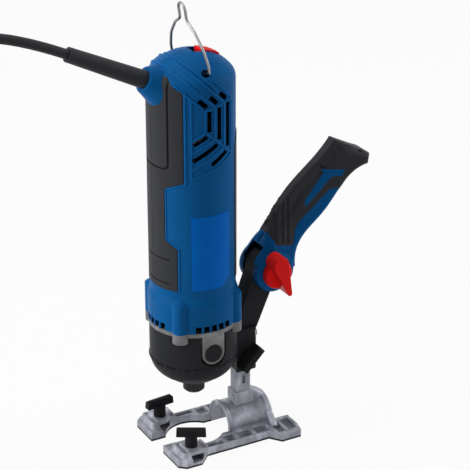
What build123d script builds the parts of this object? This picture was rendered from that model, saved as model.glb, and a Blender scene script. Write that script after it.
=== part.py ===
from build123d import *
import math
import os

os.makedirs("parts", exist_ok=True)

# Hand-held rotary cutter on its depth foot. Sizes are in millimetres, and heights are above
# the collet's mouth, which is the origin. +Z runs up the spindle axis, +X points at the
# auxiliary handle, and -Y is the label side.

# Fits and gaps
running_clearance = 0.06
slide_clearance = 0.15
joint_gap = 0.35
cut_over = 5.0

# Housing
body_r = 31.0
wall = 3.0
roof_z = 264.0
dome_over = 7.0
crown_fillet = 10.0
flange_bottom_z = 61.7
flange_shoulder_z = 82.5
flare_top_z = 88.0
flange_r = 32.8
lower_bay_r = 26.3
lower_bay_top_z = 93.0
boss_r = 6.0
boss_circle_r = 30.3
boss_top_z = 83.8
boss_tip_r = 4.0
boss_tip_circle_r = 25.0
boss_taper = 5.5
window_height = 5.4
window_width = 4.3
window_pitch = 5.7
windows_per_side = 5
band_rise = 0.7
band_width = 9.2
band_length = 40.0
band_end_x = -5.0
band_end_z = 242.0

# Cable entry
gland_tilt = 26.0
gland_x = -35.8
gland_z = 248.2
collar_r = 9.2
collar_root_r = 16.4
collar_length = 15.0
cord_d = 7.0
boot_r = 6.4
boot_tip_r = 5.3
boot_length = 62.0
boot_flange_r = 8.4
boot_flange_t = 2.4
boot_seat = 10.0
clamp_reach = 18.0
clamp_length = 6.0
clamp_web = 4.0
clamp_web_height = 30.0
clamp_web_drop = 3.0
clamp_half = 10.0
clamp_screw_y = 7.0
clamp_screw_depth = 3.5

# Soft grips and label
grip_depth = 1.6
grip_rise = 0.5
grip_top_z = 252.0
grip_shoulder_z = 243.0
grip_half = 24.6
grip_step_z = 177.0
grip_waist_top_z = 171.5
grip_waist_half = 13.2
grip_waist_bottom_z = 132.3
grip_foot_top_z = 126.5
grip_foot_half = 21.2
grip_bottom_z = 94.0
panel_half = 16.4
panel_bottom_z = 186.0
groove_width = 1.5
grip_line_width = 0.7
grip_lines_z = (117.5, 99.0)
groove_depth = 0.8
rear_grip_half = 22.0
rear_grip_bottom_z = 95.0
rear_grip_top_z = 205.0
label_half = 14.8
label_top_z = 151.5
label_bottom_z = 95.0
label_depth = 0.4
label_rise = 0.2
label_corner = 7.0

# Vent slots, as a web of three nested lines
vent_count = 3
vent_pitch = 7.8
vent_first_x = -2.1
vent_width = 3.3
vent_tops_z = 229.0
vent_top_step = 1.7
vent_bottoms_z = 214.0
vent_bottom_step = 7.0
vent_low_slope = 31.0
vent_low_lengths = (10.9, 20.3, 14.4)
vent_high_slope = 44.0
vent_high_length = 8.0
vent_gap = 3.0
vent_depth = 21.5

# Motor
stator_r = 25.0
stator_yoke = 4.4
stator_bore_r = 15.0
stator_bottom_z = 103.0
stator_length = 54.0
pole_half_angle = 55.0
coil_end = 8.0
coil_gap = 0.6
armature_r = 14.5
armature_shaft_r = 5.0
winding_r = 13.4
winding_end = 9.0
commutator_r = 9.5
commutator_bottom_z = 170.0
commutator_length = 14.0
commutator_bars = 12
fan_r = 24.2
fan_hub_r = 9.0
fan_bottom_z = 65.5
fan_height = 14.0
fan_disc = 1.6
fan_blades = 12
fan_blade_t = 1.4
baffle_z = 86.5
baffle_t = 2.0
baffle_bore_r = 16.5
brush_z = 177.0
brush_width = 6.0
brush_height = 8.0
brush_length = 9.5
holder_wall = 1.2
holder_end = body_r - wall - 0.9

# Bearings
front_bearing_r = 14.0
front_bearing_bore_r = 6.0
front_bearing_w = 8.0
front_bearing_z = 49.5
rear_bearing_r = 11.0
rear_bearing_bore_r = 4.0
rear_bearing_w = 7.0
rear_bearing_z = 191.0
sleeve_t = 2.0

# Spindle, collet and lock
spindle_nose_r = 7.0
spindle_nose_bottom_z = 12.0
thread_r = 5.6
spindle_end_z = 2.5
shank_r = 1.6
shank_depth = 26.0
shank_relief_r = 2.2
collet_mouth_r = 4.2
collet_tail_r = 3.2
collet_slit = 0.5
nut_r = 8.0
nut_height = 11.5
nut_lip = 2.2
nut_grooves = 18
lock_z = 43.7
lock_ring_r = 13.0
lock_ring_t = 6.0
lock_notches = 12
lock_pin_r = 1.5
lock_notch_depth = 2.9
lock_button_r = 6.7
lock_button_proud = 1.2
lock_button_height = 5.7
lock_bore_floor = 10.0
lock_spring_turns = 2

# End shield
shield_r = 32.6
shield_skirt_z = 52.0
shield_skirt_r = 26.0
shield_plate_z = 58.6
shield_lug_z = 54.0
hub_r = 18.0
hub_bottom_z = 35.5
hub_bore_r = 14.5
shield_bore_r = 12.0
lobe_r = 8.7
lobe_face_y = -31.2

# Nose guard
guard_r = 32.1
guard_top_z = 58.3
guard_wall = 2.2
guard_bend_z = 33.0
guard_shoulder_r = 21.0
guard_shoulder_z = 16.0
guard_lip_r = 18.6
guard_mouth_r = 9.2
guard_mouth_z = 12.0
guard_lip_drop = 2.2
lobe_gap = 1.4

# Guide bracket
post_x = 39.3
post_w = 12.0
post_t = 9.8
saddle_top_z = 52.0
bracket_left_x = 29.0
bracket_right_x = 48.2
bracket_half = 10.0
bracket_bottom_z = 9.6
bracket_top_z = 44.0
lug_half = 6.9
pivot_x = 61.0
pivot_z = 86.7
lug_r = 14.6
lug_bend_z = 40.0

# Handle
ear_r = 15.5
ear_half = 14.0
ear_slot_r = 17.2
handle_tilt = 43.4
handle_half = 13.0
handle_round = 5.0
handle_skin = 2.4
bolt_r = 3.0
bolt_head_r = 5.4
bolt_head_t = 3.6
knob_r = 11.0
knob_base_t = 5.0
knob_depth = 15.0
wing_head_r = 6.2
wing_head_reach = 12.8
wing_tail_r = 1.8
wing_tail_reach = 12.5
wing_lean = 17.0

# Depth foot, with heights above the sole
sole_z = -41.5
pad_t = 1.5
rail_height = 6.5
rail_outer = 29.5
rail_inner = 14.7
foot_front_x = -31.0
foot_rear_x = 72.0
foot_half = 38.2
mouth_half = 9.5
clearance_r = 21.5
tip_height = 10.5
tip_length = 24.0
tip_width = 22.0
tip_corner = 4.0
arch_r = 15.6
arch_wall = 3.2
arch_centre = 7.5
arch_front_x = 22.0
arch_rear_x = 58.0
rim_r = 17.2
rim_t = 4.0
pedestal_top = 31.5
pedestal_margin = 1.4
post_top_z = 34.0
post_slot_z = -0.7
post_slot = 6.7
post_slot_w = 2.6
post_slot_depth = 2.0
bar_slot_w = 10.0
bar_slot_h = 5.2
bar_slot_bottom = 3.2

# Wing screws and clamp knob
screw_x = -16.0
screw_edge = 12.7
screw_y = foot_half - screw_edge
stud_r = 2.5
hub_knob_r = 4.6
hub_knob_length = 8.0
bar_length = 22.0
bar_t = 7.0
bar_height = 8.0
near_bar_turn = -29.0
far_bar_turn = 6.0
wing_bar_t = 5.2
wing_bar_height = 6.2
clamp_z = 22.3
clamp_bar_turn = 46.0

# Hanger bail
bail_z = 254.3
bail_half = 26.7
bail_wire_d = 2.0
bail_height = 44.0
bail_lean = 9.0
bail_pin_end = 21.5

# Switch slider
slider_x = 12.5
slider_length = 15.0
slider_width = 10.2
slider_rise = 1.1
slider_groove = 0.6
slider_travel = 5.0
slider_flange_t = 1.6

# Fasteners
small_screw_r = 1.5
small_head_r = 2.9
small_head_t = 2.2


def gland_plane(reach):
    """Plane across the cable entry, its normal pointing out along the cable."""
    lean = math.radians(gland_tilt)
    out = (-math.cos(lean), 0, math.sin(lean))
    centre = (gland_x + out[0] * reach, 0, gland_z + out[2] * reach)
    return Plane(origin=centre, x_dir=(0, 1, 0), z_dir=out)


# Roof: a wide dome that a smaller round joins to the straight side
dome_r = body_r + dome_over
dome_z = roof_z - dome_r
crown_reach = body_r - crown_fillet
crown_z = dome_z + math.sqrt((dome_r - crown_fillet) ** 2 - crown_reach**2)
crown_turn = math.degrees(math.atan2(crown_z - dome_z, crown_reach))


def roof_line(grow):
    """Half outline of the roof from the straight side to the axis, grown outwards by grow."""
    CenterArc((crown_reach, crown_z), crown_fillet + grow, 0, crown_turn)
    CenterArc((0, dome_z), dome_r + grow, crown_turn, 90 - crown_turn)


def body_solid(grow):
    """Outside of the motor housing, round with a domed roof, grown outwards by grow."""
    with BuildPart() as solid:
        with BuildSketch(Plane.XZ):
            with BuildLine():
                Polyline(
                    (0, roof_z + grow),
                    (0, flange_bottom_z),
                    (flange_r + grow, flange_bottom_z),
                    (flange_r + grow, flange_shoulder_z),
                    (body_r + grow, flare_top_z),
                    (body_r + grow, crown_z),
                )
                roof_line(grow)
            make_face()
        revolve(axis=Axis.Z)
    return solid.part


def housing_cavity():
    """Hollow inside the housing: a narrower fan bay with the motor bay above it."""
    inner_r = body_r - wall
    with BuildPart() as solid:
        with BuildSketch(Plane.XZ):
            with BuildLine():
                Polyline(
                    (0, roof_z - wall),
                    (0, flange_bottom_z),
                    (lower_bay_r, flange_bottom_z),
                    (lower_bay_r, lower_bay_top_z),
                    (inner_r, lower_bay_top_z),
                    (inner_r, crown_z),
                )
                roof_line(-wall)
            make_face()
        revolve(axis=Axis.Z)
    return solid.part


def gland_cone():
    """Collar that carries the cable boot out of the housing."""
    with BuildPart() as solid:
        with BuildSketch(gland_plane(-collar_length)):
            Circle(collar_root_r)
        with BuildSketch(gland_plane(0)):
            Circle(collar_r)
        loft()
    return solid.part


def side_prism(plane, corners, depth):
    """Straight block whose outline is drawn on the plane."""
    with BuildPart() as solid:
        with BuildSketch(plane):
            with BuildLine():
                Polyline(*corners, close=True)
            make_face()
        extrude(amount=depth)
    return solid.part


def skin_patch(prism, depth, rise):
    """Part of the housing's skin under the prism, from depth below the surface to rise above it."""
    with BuildPart() as patch:
        add(body_solid(rise))
        add(body_solid(-depth), mode=Mode.SUBTRACT)
        add(prism, mode=Mode.INTERSECT)
        add(gland_cone(), mode=Mode.SUBTRACT)
    return patch.part


# Where the housing halves are screwed together, as (x, z)
stator_top_z = stator_bottom_z + stator_length
low_screw_x = body_r - 10.0
mid_screw_x = body_r - 10.5
top_screw_x = body_r - 8.3
housing_screw_spots = [
    (-low_screw_x, 205.0),
    (low_screw_x, 205.0),
    (-mid_screw_x, 223.0),
    (top_screw_x, 240.0),
]
housing_boss_r = small_screw_r + 2.7
housing_head_y = 16.0
housing_screw_length = 30.0

# Outlines of the soft grips, seen along X
front_outline = [
    (0, grip_top_z),
    (grip_waist_half, grip_top_z),
    (grip_half, grip_shoulder_z),
    (grip_half, grip_step_z),
    (grip_waist_half, grip_waist_top_z),
    (grip_waist_half, grip_waist_bottom_z),
    (grip_foot_half, grip_foot_top_z),
    (grip_foot_half, grip_bottom_z),
    (0, grip_bottom_z),
]
front_outline_far = [(-y, z) for y, z in front_outline]
rear_outline = [
    (0, rear_grip_top_z),
    (rear_grip_half - 5, rear_grip_top_z),
    (rear_grip_half, rear_grip_top_z - 8),
    (rear_grip_half, rear_grip_bottom_z),
    (0, rear_grip_bottom_z),
]
rear_outline_far = [(-y, z) for y, z in rear_outline]
grip_reach = body_r + 10
label_outline = [
    (-label_half, label_top_z),
    (label_half, label_top_z),
    (label_half, label_bottom_z + label_corner),
    (label_half - label_corner, label_bottom_z),
    (-label_half, label_bottom_z),
]
front_left_prism = side_prism(Plane.YZ, front_outline, -grip_reach)
front_right_prism = side_prism(Plane.YZ, front_outline_far, -grip_reach)
rear_left_prism = side_prism(Plane.YZ, rear_outline, grip_reach)
rear_right_prism = side_prism(Plane.YZ, rear_outline_far, grip_reach)
label_prism = side_prism(Plane.XZ, label_outline, grip_reach)


def slant(start, slope, length):
    """One slanting vent slot that begins at start."""
    middle_x = start[0] + math.cos(math.radians(slope)) * length / 2
    middle_z = start[1] + math.sin(math.radians(slope)) * length / 2
    with Locations((middle_x, middle_z)):
        Rectangle(length, vent_width, rotation=slope)


with BuildPart() as vent_cut:
    with BuildSketch(Plane.XZ.offset(vent_depth)):
        for vent in range(vent_count):
            vent_x = vent_first_x + vent * vent_pitch
            vent_left = vent_x - vent_width / 2
            vent_top = vent_tops_z + vent * vent_top_step
            vent_bottom = vent_bottoms_z - vent * vent_bottom_step
            with Locations((vent_x, (vent_top + vent_bottom) / 2)):
                Rectangle(vent_width, vent_top - vent_bottom)
            slant((vent_left, vent_top + vent_gap), 180 - vent_high_slope, vent_high_length)
            slant((vent_left, vent_bottom - vent_gap), 180 + vent_low_slope, vent_low_lengths[vent])
    extrude(amount=body_r)
    mirror(about=Plane.XZ)

# Raised band that runs over the roof behind the cable and down both flanks
band_rise_run = band_length / 2 * math.sqrt(0.5)
with BuildPart() as roof_band:
    add(body_solid(band_rise))
    with BuildSketch(Plane.XZ):
        with Locations((band_end_x - band_rise_run, band_end_z + band_rise_run)):
            Rectangle(band_length, band_width, rotation=-45)
    extrude(amount=2 * body_r, both=True, mode=Mode.INTERSECT)

# Ribs and seats that stand inside the housing
rib_t = 3.0
rib_r = body_r - wall / 2
bearing_seat_r = rear_bearing_r + sleeve_t
shelf_z = 222.5
shelf_t = 2.5
switch_top_z = 247.8
slider_flange_top_z = 250.7
capacitor_r = 6.0
capacitor_length = 26.0
holder_half_y = brush_width / 2 + holder_wall
holder_half_z = brush_height / 2 + holder_wall
with BuildPart() as ribs:
    for rib_z in (stator_bottom_z + rib_t, stator_top_z - 2 * rib_t):
        with BuildSketch(Plane.XY.offset(rib_z)):
            Circle(rib_r)
            Circle(stator_r, mode=Mode.SUBTRACT)
        extrude(amount=rib_t)
    with BuildSketch(Plane.XY.offset(stator_bottom_z - rib_t)):
        Circle(rib_r)
        Circle(stator_r - 2, mode=Mode.SUBTRACT)
    extrude(amount=rib_t)
    with BuildSketch(Plane.XY.offset(baffle_z - rib_t)):
        Circle(rib_r)
        Circle(lower_bay_r - 1.5, mode=Mode.SUBTRACT)
    extrude(amount=rib_t)
    with BuildSketch(Plane.XY.offset(rear_bearing_z - 1)):
        Circle(bearing_seat_r + rib_t)
        Circle(bearing_seat_r, mode=Mode.SUBTRACT)
    extrude(amount=rear_bearing_w + 2)
    with BuildSketch(Plane.XY.offset(rear_bearing_z + 2)):
        Circle(rib_r)
        Circle(bearing_seat_r, mode=Mode.SUBTRACT)
    extrude(amount=rib_t)
    # Shelf for the switch, with cradles for the capacitor hung under it
    with BuildSketch(Plane.XY.offset(shelf_z)):
        Circle(rib_r)
        with Locations((-12, 0)):
            Circle(4, mode=Mode.SUBTRACT)
    extrude(amount=shelf_t)
    with BuildSketch(Plane.XY.offset(shelf_z - capacitor_r)):
        with Locations((-8, 0), (8, 0)):
            Rectangle(rib_t, 2 * capacitor_r + 2 * rib_t)
    extrude(amount=capacitor_r)
    with BuildSketch(Plane.YZ):
        with Locations((0, shelf_z - capacitor_r)):
            Circle(capacitor_r)
    extrude(amount=capacitor_length / 2, both=True, mode=Mode.SUBTRACT)
    # Seats for the brush holders
    with BuildSketch(Plane.YZ):
        with Locations((0, brush_z)):
            Rectangle(2 * holder_half_y + 2 * rib_t, 2 * holder_half_z + 2 * rib_t)
    extrude(amount=rib_r, both=True)
    with BuildSketch(Plane.YZ):
        with Locations((0, brush_z)):
            Rectangle(2 * holder_half_y, 2 * holder_half_z)
    extrude(amount=holder_end, both=True, mode=Mode.SUBTRACT)
    with BuildSketch(Plane.XY.offset(brush_z - 2 * holder_half_z)):
        Circle(body_r - 3 * wall)
    extrude(amount=4 * holder_half_z, mode=Mode.SUBTRACT)
    # Rails that hold the red slider down
    with BuildSketch(Plane.XY.offset(slider_flange_top_z + joint_gap)):
        with Locations((slider_x - slider_travel, 0)):
            Rectangle(slider_length + 3 * slider_travel, slider_width + 4 * rib_t)
            Rectangle(slider_length + 3 * slider_travel, slider_width + 2 * joint_gap, mode=Mode.SUBTRACT)
    extrude(amount=roof_z - slider_flange_top_z - joint_gap)
    # Web that the cord clamp is screwed to
    with BuildSketch(gland_plane(-clamp_reach - clamp_length)):
        with Locations((0, -clamp_web_drop)):
            Rectangle(2 * body_r, clamp_web_height)
    extrude(amount=-clamp_web)
    # Tubes for the screws that join the halves
    with BuildSketch(Plane.XZ):
        with Locations(*housing_screw_spots):
            Circle(housing_boss_r)
    extrude(amount=body_r, both=True)
    add(body_solid(-wall / 2), mode=Mode.INTERSECT)

with BuildPart() as housing:
    add(body_solid(0))
    with BuildSketch(Plane.XY.offset(flange_bottom_z)):
        with PolarLocations(boss_circle_r, 4, start_angle=45):
            Circle(boss_r)
    extrude(amount=boss_top_z - flange_bottom_z)
    for boss in range(4):
        with BuildSketch(Plane.XY.offset(boss_top_z)):
            with PolarLocations(boss_circle_r, 1, start_angle=45 + 90 * boss):
                Circle(boss_r)
        with BuildSketch(Plane.XY.offset(boss_top_z + boss_taper)):
            with PolarLocations(boss_tip_circle_r, 1, start_angle=45 + 90 * boss):
                Circle(boss_tip_r)
        loft()
    add(gland_cone())
    add(roof_band.part)
    add(housing_cavity(), mode=Mode.SUBTRACT)
    add(ribs.part)
    add(gland_cone())
    # Cable entry: bore, pocket for the boot's flange, and the way through the clamp web
    with BuildSketch(gland_plane(1)):
        Circle(boot_r)
    extrude(amount=-collar_length - 5, mode=Mode.SUBTRACT)
    with BuildSketch(gland_plane(-boot_seat)):
        Circle(boot_flange_r)
    extrude(amount=-boot_flange_t - 4, mode=Mode.SUBTRACT)
    with BuildSketch(gland_plane(-clamp_reach)):
        Circle(cord_d / 2)
    extrude(amount=-clamp_length - clamp_web - 1, mode=Mode.SUBTRACT)
    with BuildSketch(gland_plane(-clamp_reach - clamp_length)):
        with Locations((-clamp_screw_y, 0), (clamp_screw_y, 0)):
            Circle(small_screw_r)
    extrude(amount=-clamp_screw_depth, mode=Mode.SUBTRACT)
    # Roof slot for the slider
    with BuildSketch(Plane.XY.offset(switch_top_z)):
        with Locations((slider_x - slider_travel / 2, 0)):
            Rectangle(slider_length + slider_travel + 2 * joint_gap, slider_width + 2 * joint_gap)
    extrude(amount=roof_z - switch_top_z + cut_over, mode=Mode.SUBTRACT)
    # Air slots, and the row of air windows on each side of the flange
    add(vent_cut.part, mode=Mode.SUBTRACT)
    with BuildSketch(Plane.XZ):
        with Locations((0, flange_bottom_z + window_height / 2)):
            with GridLocations(window_pitch, 0, windows_per_side, 1):
                Rectangle(window_width, window_height)
    extrude(amount=2 * body_r, both=True, mode=Mode.SUBTRACT)
    with BuildSketch(Plane.YZ):
        with Locations((0, flange_bottom_z + window_height / 2)):
            with GridLocations(window_pitch, 0, windows_per_side, 1):
                Rectangle(window_width, window_height)
    extrude(amount=2 * body_r, both=True, mode=Mode.SUBTRACT)
    # Bail holes and screw holes
    for bail_end in (joint_gap - bail_pin_end, bail_pin_end - joint_gap):
        with BuildSketch(Plane.XZ.offset(bail_end)):
            with Locations((0, bail_z)):
                Circle(bail_wire_d / 2 + running_clearance)
        extrude(amount=math.copysign(body_r, bail_end), mode=Mode.SUBTRACT)
    with BuildSketch(Plane.XY.offset(flange_bottom_z)):
        with PolarLocations(boss_circle_r, 4, start_angle=45):
            Circle(small_screw_r)
    extrude(amount=flange_shoulder_z - flange_bottom_z, mode=Mode.SUBTRACT)
    with BuildSketch(Plane.XZ.offset(-housing_head_y)):
        with Locations(*housing_screw_spots):
            Circle(small_screw_r)
    extrude(amount=housing_screw_length, mode=Mode.SUBTRACT)
    with BuildSketch(Plane.XZ.offset(-housing_head_y)):
        with Locations(*housing_screw_spots):
            Circle(small_head_r)
    extrude(amount=-body_r, mode=Mode.SUBTRACT)
    # Seats for the soft grips and the label
    add(skin_patch(front_right_prism, grip_depth, 5), mode=Mode.SUBTRACT)
    add(skin_patch(front_left_prism, grip_depth, 5), mode=Mode.SUBTRACT)
    add(skin_patch(rear_right_prism, grip_depth, 5), mode=Mode.SUBTRACT)
    add(skin_patch(rear_left_prism, grip_depth, 5), mode=Mode.SUBTRACT)
    add(skin_patch(label_prism, label_depth, 5), mode=Mode.SUBTRACT)

with BuildPart() as housing_right:
    add(housing.part)
    split(bisect_by=Plane.XZ, keep=Keep.TOP)
housing_right.part.label = "housing_right"
export_step(housing_right.part, "parts/housing_right.step")

with BuildPart() as housing_left:
    add(housing.part)
    split(bisect_by=Plane.XZ, keep=Keep.BOTTOM)
housing_left.part.label = "housing_left"
export_step(housing_left.part, "parts/housing_left.step")
print("housing solids", len(housing_right.part.solids()), len(housing_left.part.solids()))

# Groove lines in the front grip: a round-ended panel, and two fine level lines below it
panel_height = roof_z - panel_bottom_z
panel_corner = 3.5
with BuildPart() as grip_grooves:
    with BuildSketch(Plane.YZ):
        with Locations((0, (panel_bottom_z + roof_z) / 2)):
            RectangleRounded(2 * panel_half + groove_width, panel_height + groove_width, panel_corner + 1)
            RectangleRounded(
                2 * panel_half - groove_width, panel_height - groove_width, panel_corner, mode=Mode.SUBTRACT
            )
        for grip_line_z in grip_lines_z:
            with Locations((0, grip_line_z)):
                Rectangle(2 * panel_half, grip_line_width)
    extrude(amount=-grip_reach)
    add(body_solid(grip_rise - groove_depth), mode=Mode.SUBTRACT)

# Holes that leave the screw heads open
with BuildPart() as head_holes:
    with BuildSketch(Plane.XZ.offset(-housing_head_y)):
        with Locations(*housing_screw_spots):
            Circle(small_head_r)
    extrude(amount=-body_r)

with BuildPart() as front_grip_right:
    add(skin_patch(front_right_prism, grip_depth, grip_rise))
    add(grip_grooves.part, mode=Mode.SUBTRACT)
front_grip_right.part.label = "front_grip_right"
export_step(front_grip_right.part, "parts/front_grip_right.step")

with BuildPart() as front_grip_left:
    add(skin_patch(front_left_prism, grip_depth, grip_rise))
    add(grip_grooves.part, mode=Mode.SUBTRACT)
    add(head_holes.part, mode=Mode.SUBTRACT)
front_grip_left.part.label = "front_grip_left"
export_step(front_grip_left.part, "parts/front_grip_left.step")

with BuildPart() as rear_grip_right:
    add(skin_patch(rear_right_prism, grip_depth, grip_rise))
rear_grip_right.part.label = "rear_grip_right"
export_step(rear_grip_right.part, "parts/rear_grip_right.step")

with BuildPart() as rear_grip_left:
    add(skin_patch(rear_left_prism, grip_depth, grip_rise))
    add(head_holes.part, mode=Mode.SUBTRACT)
rear_grip_left.part.label = "rear_grip_left"
export_step(rear_grip_left.part, "parts/rear_grip_left.step")
grips = (front_grip_right, front_grip_left, rear_grip_right, rear_grip_left)
print("grip solids", [len(grip.part.solids()) for grip in grips])

with BuildPart() as label_plate:
    add(skin_patch(label_prism, label_depth, label_rise))
label_plate.part.label = "label_plate"
export_step(label_plate.part, "parts/label_plate.step")

with BuildPart() as housing_screws:
    with BuildSketch(Plane.XZ.offset(-housing_head_y)):
        with Locations(*housing_screw_spots):
            Circle(small_screw_r)
    extrude(amount=housing_screw_length)
    with BuildSketch(Plane.XZ.offset(-housing_head_y)):
        with Locations(*housing_screw_spots):
            Circle(small_head_r)
    extrude(amount=-small_head_t)
housing_screws.part.label = "housing_screws"
export_step(housing_screws.part, "parts/housing_screws.step")

# Rotor
spindle_top_z = rear_bearing_z + rear_bearing_w + 2
front_seat_top_z = front_bearing_z + front_bearing_w
fan_seat_z = front_seat_top_z + 2.5
collet_taper_top_z = 9.0
collet_top_z = 20.0
with BuildPart() as spindle:
    with BuildSketch(Plane.XZ):
        with BuildLine():
            Polyline(
                (0, shank_depth),
                (shank_relief_r, shank_depth),
                (shank_relief_r, collet_top_z),
                (collet_tail_r, collet_top_z),
                (collet_tail_r, collet_taper_top_z),
                (collet_mouth_r, spindle_end_z),
                (thread_r, spindle_end_z),
                (thread_r, spindle_nose_bottom_z),
                (spindle_nose_r, spindle_nose_bottom_z),
                (spindle_nose_r, front_bearing_z),
                (front_bearing_bore_r, front_bearing_z),
                (front_bearing_bore_r, fan_seat_z),
                (armature_shaft_r, fan_seat_z),
                (armature_shaft_r, rear_bearing_z),
                (rear_bearing_bore_r, rear_bearing_z),
                (rear_bearing_bore_r, spindle_top_z),
                (0, spindle_top_z),
                close=True,
            )
        make_face()
    revolve(axis=Axis.Z)
spindle.part.label = "spindle"
export_step(spindle.part, "parts/spindle.step")

collet_shoulder_z = nut_lip + joint_gap
collet_nose_r = 3.0
collet_taper = (collet_mouth_r - collet_tail_r) / (collet_taper_top_z - spindle_end_z)
collet_shoulder_r = collet_mouth_r - collet_taper * (collet_shoulder_z - spindle_end_z)
with BuildPart() as collet:
    with BuildSketch(Plane.XZ):
        with BuildLine():
            Polyline(
                (shank_r, 0),
                (collet_nose_r, 0),
                (collet_nose_r, collet_shoulder_z),
                (collet_shoulder_r, collet_shoulder_z),
                (collet_tail_r, collet_taper_top_z),
                (collet_tail_r, collet_top_z),
                (shank_r, collet_top_z),
                close=True,
            )
        make_face()
    revolve(axis=Axis.Z)
    with BuildSketch(Plane.XY):
        with PolarLocations(collet_mouth_r / 2 + shank_r / 2, 3):
            Rectangle(collet_mouth_r, collet_slit)
    extrude(amount=collet_top_z - 4, mode=Mode.SUBTRACT)
collet.part.label = "collet"
export_step(collet.part, "parts/collet.step")

with BuildPart() as collet_nut:
    with BuildSketch(Plane.XZ):
        with BuildLine():
            Polyline(
                (collet_nose_r + joint_gap, 0),
                (nut_r - 1.5, 0),
                (nut_r, 1.5),
                (nut_r, nut_height),
                (thread_r + running_clearance, nut_height),
                (thread_r + running_clearance, nut_lip),
                (collet_nose_r + joint_gap, nut_lip),
                close=True,
            )
        make_face()
    revolve(axis=Axis.Z)
    with BuildSketch(Plane.XY.offset(2)):
        with PolarLocations(nut_r, nut_grooves):
            Circle(0.45)
    extrude(amount=nut_height - 4, mode=Mode.SUBTRACT)
collet_nut.part.label = "collet_nut"
export_step(collet_nut.part, "parts/collet_nut.step")

lock_notch_floor_r = lock_ring_r - lock_notch_depth
with BuildPart() as lock_ring:
    with BuildSketch(Plane.XY.offset(lock_z - lock_ring_t / 2)):
        Circle(lock_ring_r)
        Circle(spindle_nose_r, mode=Mode.SUBTRACT)
        with PolarLocations(lock_notch_floor_r + lock_notch_depth, lock_notches, start_angle=-90):
            Rectangle(2 * lock_notch_depth, 2 * lock_pin_r + 2 * slide_clearance, mode=Mode.SUBTRACT)
    extrude(amount=lock_ring_t)
lock_ring.part.label = "lock_ring"
export_step(lock_ring.part, "parts/lock_ring.step")

slots = commutator_bars
slot_w = 2.8
slot_floor_r = 9.0
with BuildPart() as armature_core:
    with BuildSketch(Plane.XY.offset(stator_bottom_z)):
        Circle(armature_r)
        Circle(armature_shaft_r, mode=Mode.SUBTRACT)
        with PolarLocations((armature_r + slot_floor_r) / 2 + 1, slots):
            Rectangle(armature_r - slot_floor_r + 2, slot_w, mode=Mode.SUBTRACT)
    extrude(amount=stator_length)
armature_core.part.label = "armature_core"
export_step(armature_core.part, "parts/armature_core.step")

with BuildPart() as armature_windings:
    with BuildSketch(Plane.XY.offset(stator_bottom_z)):
        with PolarLocations((winding_r + slot_floor_r) / 2, slots):
            Rectangle(winding_r - slot_floor_r, slot_w)
    extrude(amount=stator_length)
    with BuildSketch(Plane.XY.offset(stator_bottom_z - winding_end)):
        Circle(winding_r)
        Circle(armature_shaft_r, mode=Mode.SUBTRACT)
    extrude(amount=winding_end)
    with BuildSketch(Plane.XY.offset(stator_top_z)):
        Circle(winding_r)
        Circle(armature_shaft_r, mode=Mode.SUBTRACT)
    extrude(amount=winding_end)
armature_windings.part.label = "armature_windings"
export_step(armature_windings.part, "parts/armature_windings.step")

with BuildPart() as commutator:
    with BuildSketch(Plane.XY.offset(commutator_bottom_z)):
        Circle(commutator_r)
        Circle(armature_shaft_r, mode=Mode.SUBTRACT)
    extrude(amount=commutator_length)
    with BuildSketch(Plane.XY.offset(commutator_bottom_z)):
        with PolarLocations(commutator_r, commutator_bars, start_angle=15):
            Rectangle(2, 0.5)
    extrude(amount=commutator_length, mode=Mode.SUBTRACT)
commutator.part.label = "commutator"
export_step(commutator.part, "parts/commutator.step")

fan_top_z = fan_bottom_z + fan_height
with BuildPart() as fan:
    with BuildSketch(Plane.XY.offset(fan_bottom_z)):
        Circle(fan_hub_r)
    extrude(amount=fan_height)
    with BuildSketch(Plane.XY.offset(fan_top_z - fan_disc)):
        Circle(fan_r)
    extrude(amount=fan_disc)
    with BuildSketch(Plane.XY.offset(fan_bottom_z + 2)):
        with PolarLocations((fan_r + fan_hub_r) / 2, fan_blades):
            Rectangle(fan_r - fan_hub_r, fan_blade_t, rotation=18)
    extrude(amount=fan_height - fan_disc - 2)
    with BuildSketch(Plane.XY.offset(fan_bottom_z)):
        Circle(armature_shaft_r)
    extrude(amount=fan_height, mode=Mode.SUBTRACT)
    with BuildSketch(Plane.XY.offset(fan_bottom_z)):
        Circle(flange_r)
        Circle(fan_r, mode=Mode.SUBTRACT)
    extrude(amount=fan_height, mode=Mode.SUBTRACT)
fan.part.label = "fan"
export_step(fan.part, "parts/fan.step")

# Bearings, each as its two rings
front_race_r = (front_bearing_r + front_bearing_bore_r) / 2
rear_race_r = (rear_bearing_r + rear_bearing_bore_r) / 2
with BuildPart() as front_bearing_outer:
    with BuildSketch(Plane.XY.offset(front_bearing_z)):
        Circle(front_bearing_r)
        Circle(front_race_r + running_clearance, mode=Mode.SUBTRACT)
    extrude(amount=front_bearing_w)
front_bearing_outer.part.label = "front_bearing_outer"
export_step(front_bearing_outer.part, "parts/front_bearing_outer.step")

with BuildPart() as front_bearing_inner:
    with BuildSketch(Plane.XY.offset(front_bearing_z)):
        Circle(front_race_r)
        Circle(front_bearing_bore_r, mode=Mode.SUBTRACT)
    extrude(amount=front_bearing_w)
front_bearing_inner.part.label = "front_bearing_inner"
export_step(front_bearing_inner.part, "parts/front_bearing_inner.step")

with BuildPart() as rear_bearing_outer:
    with BuildSketch(Plane.XY.offset(rear_bearing_z)):
        Circle(rear_bearing_r)
        Circle(rear_race_r + running_clearance, mode=Mode.SUBTRACT)
    extrude(amount=rear_bearing_w)
rear_bearing_outer.part.label = "rear_bearing_outer"
export_step(rear_bearing_outer.part, "parts/rear_bearing_outer.step")

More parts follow.
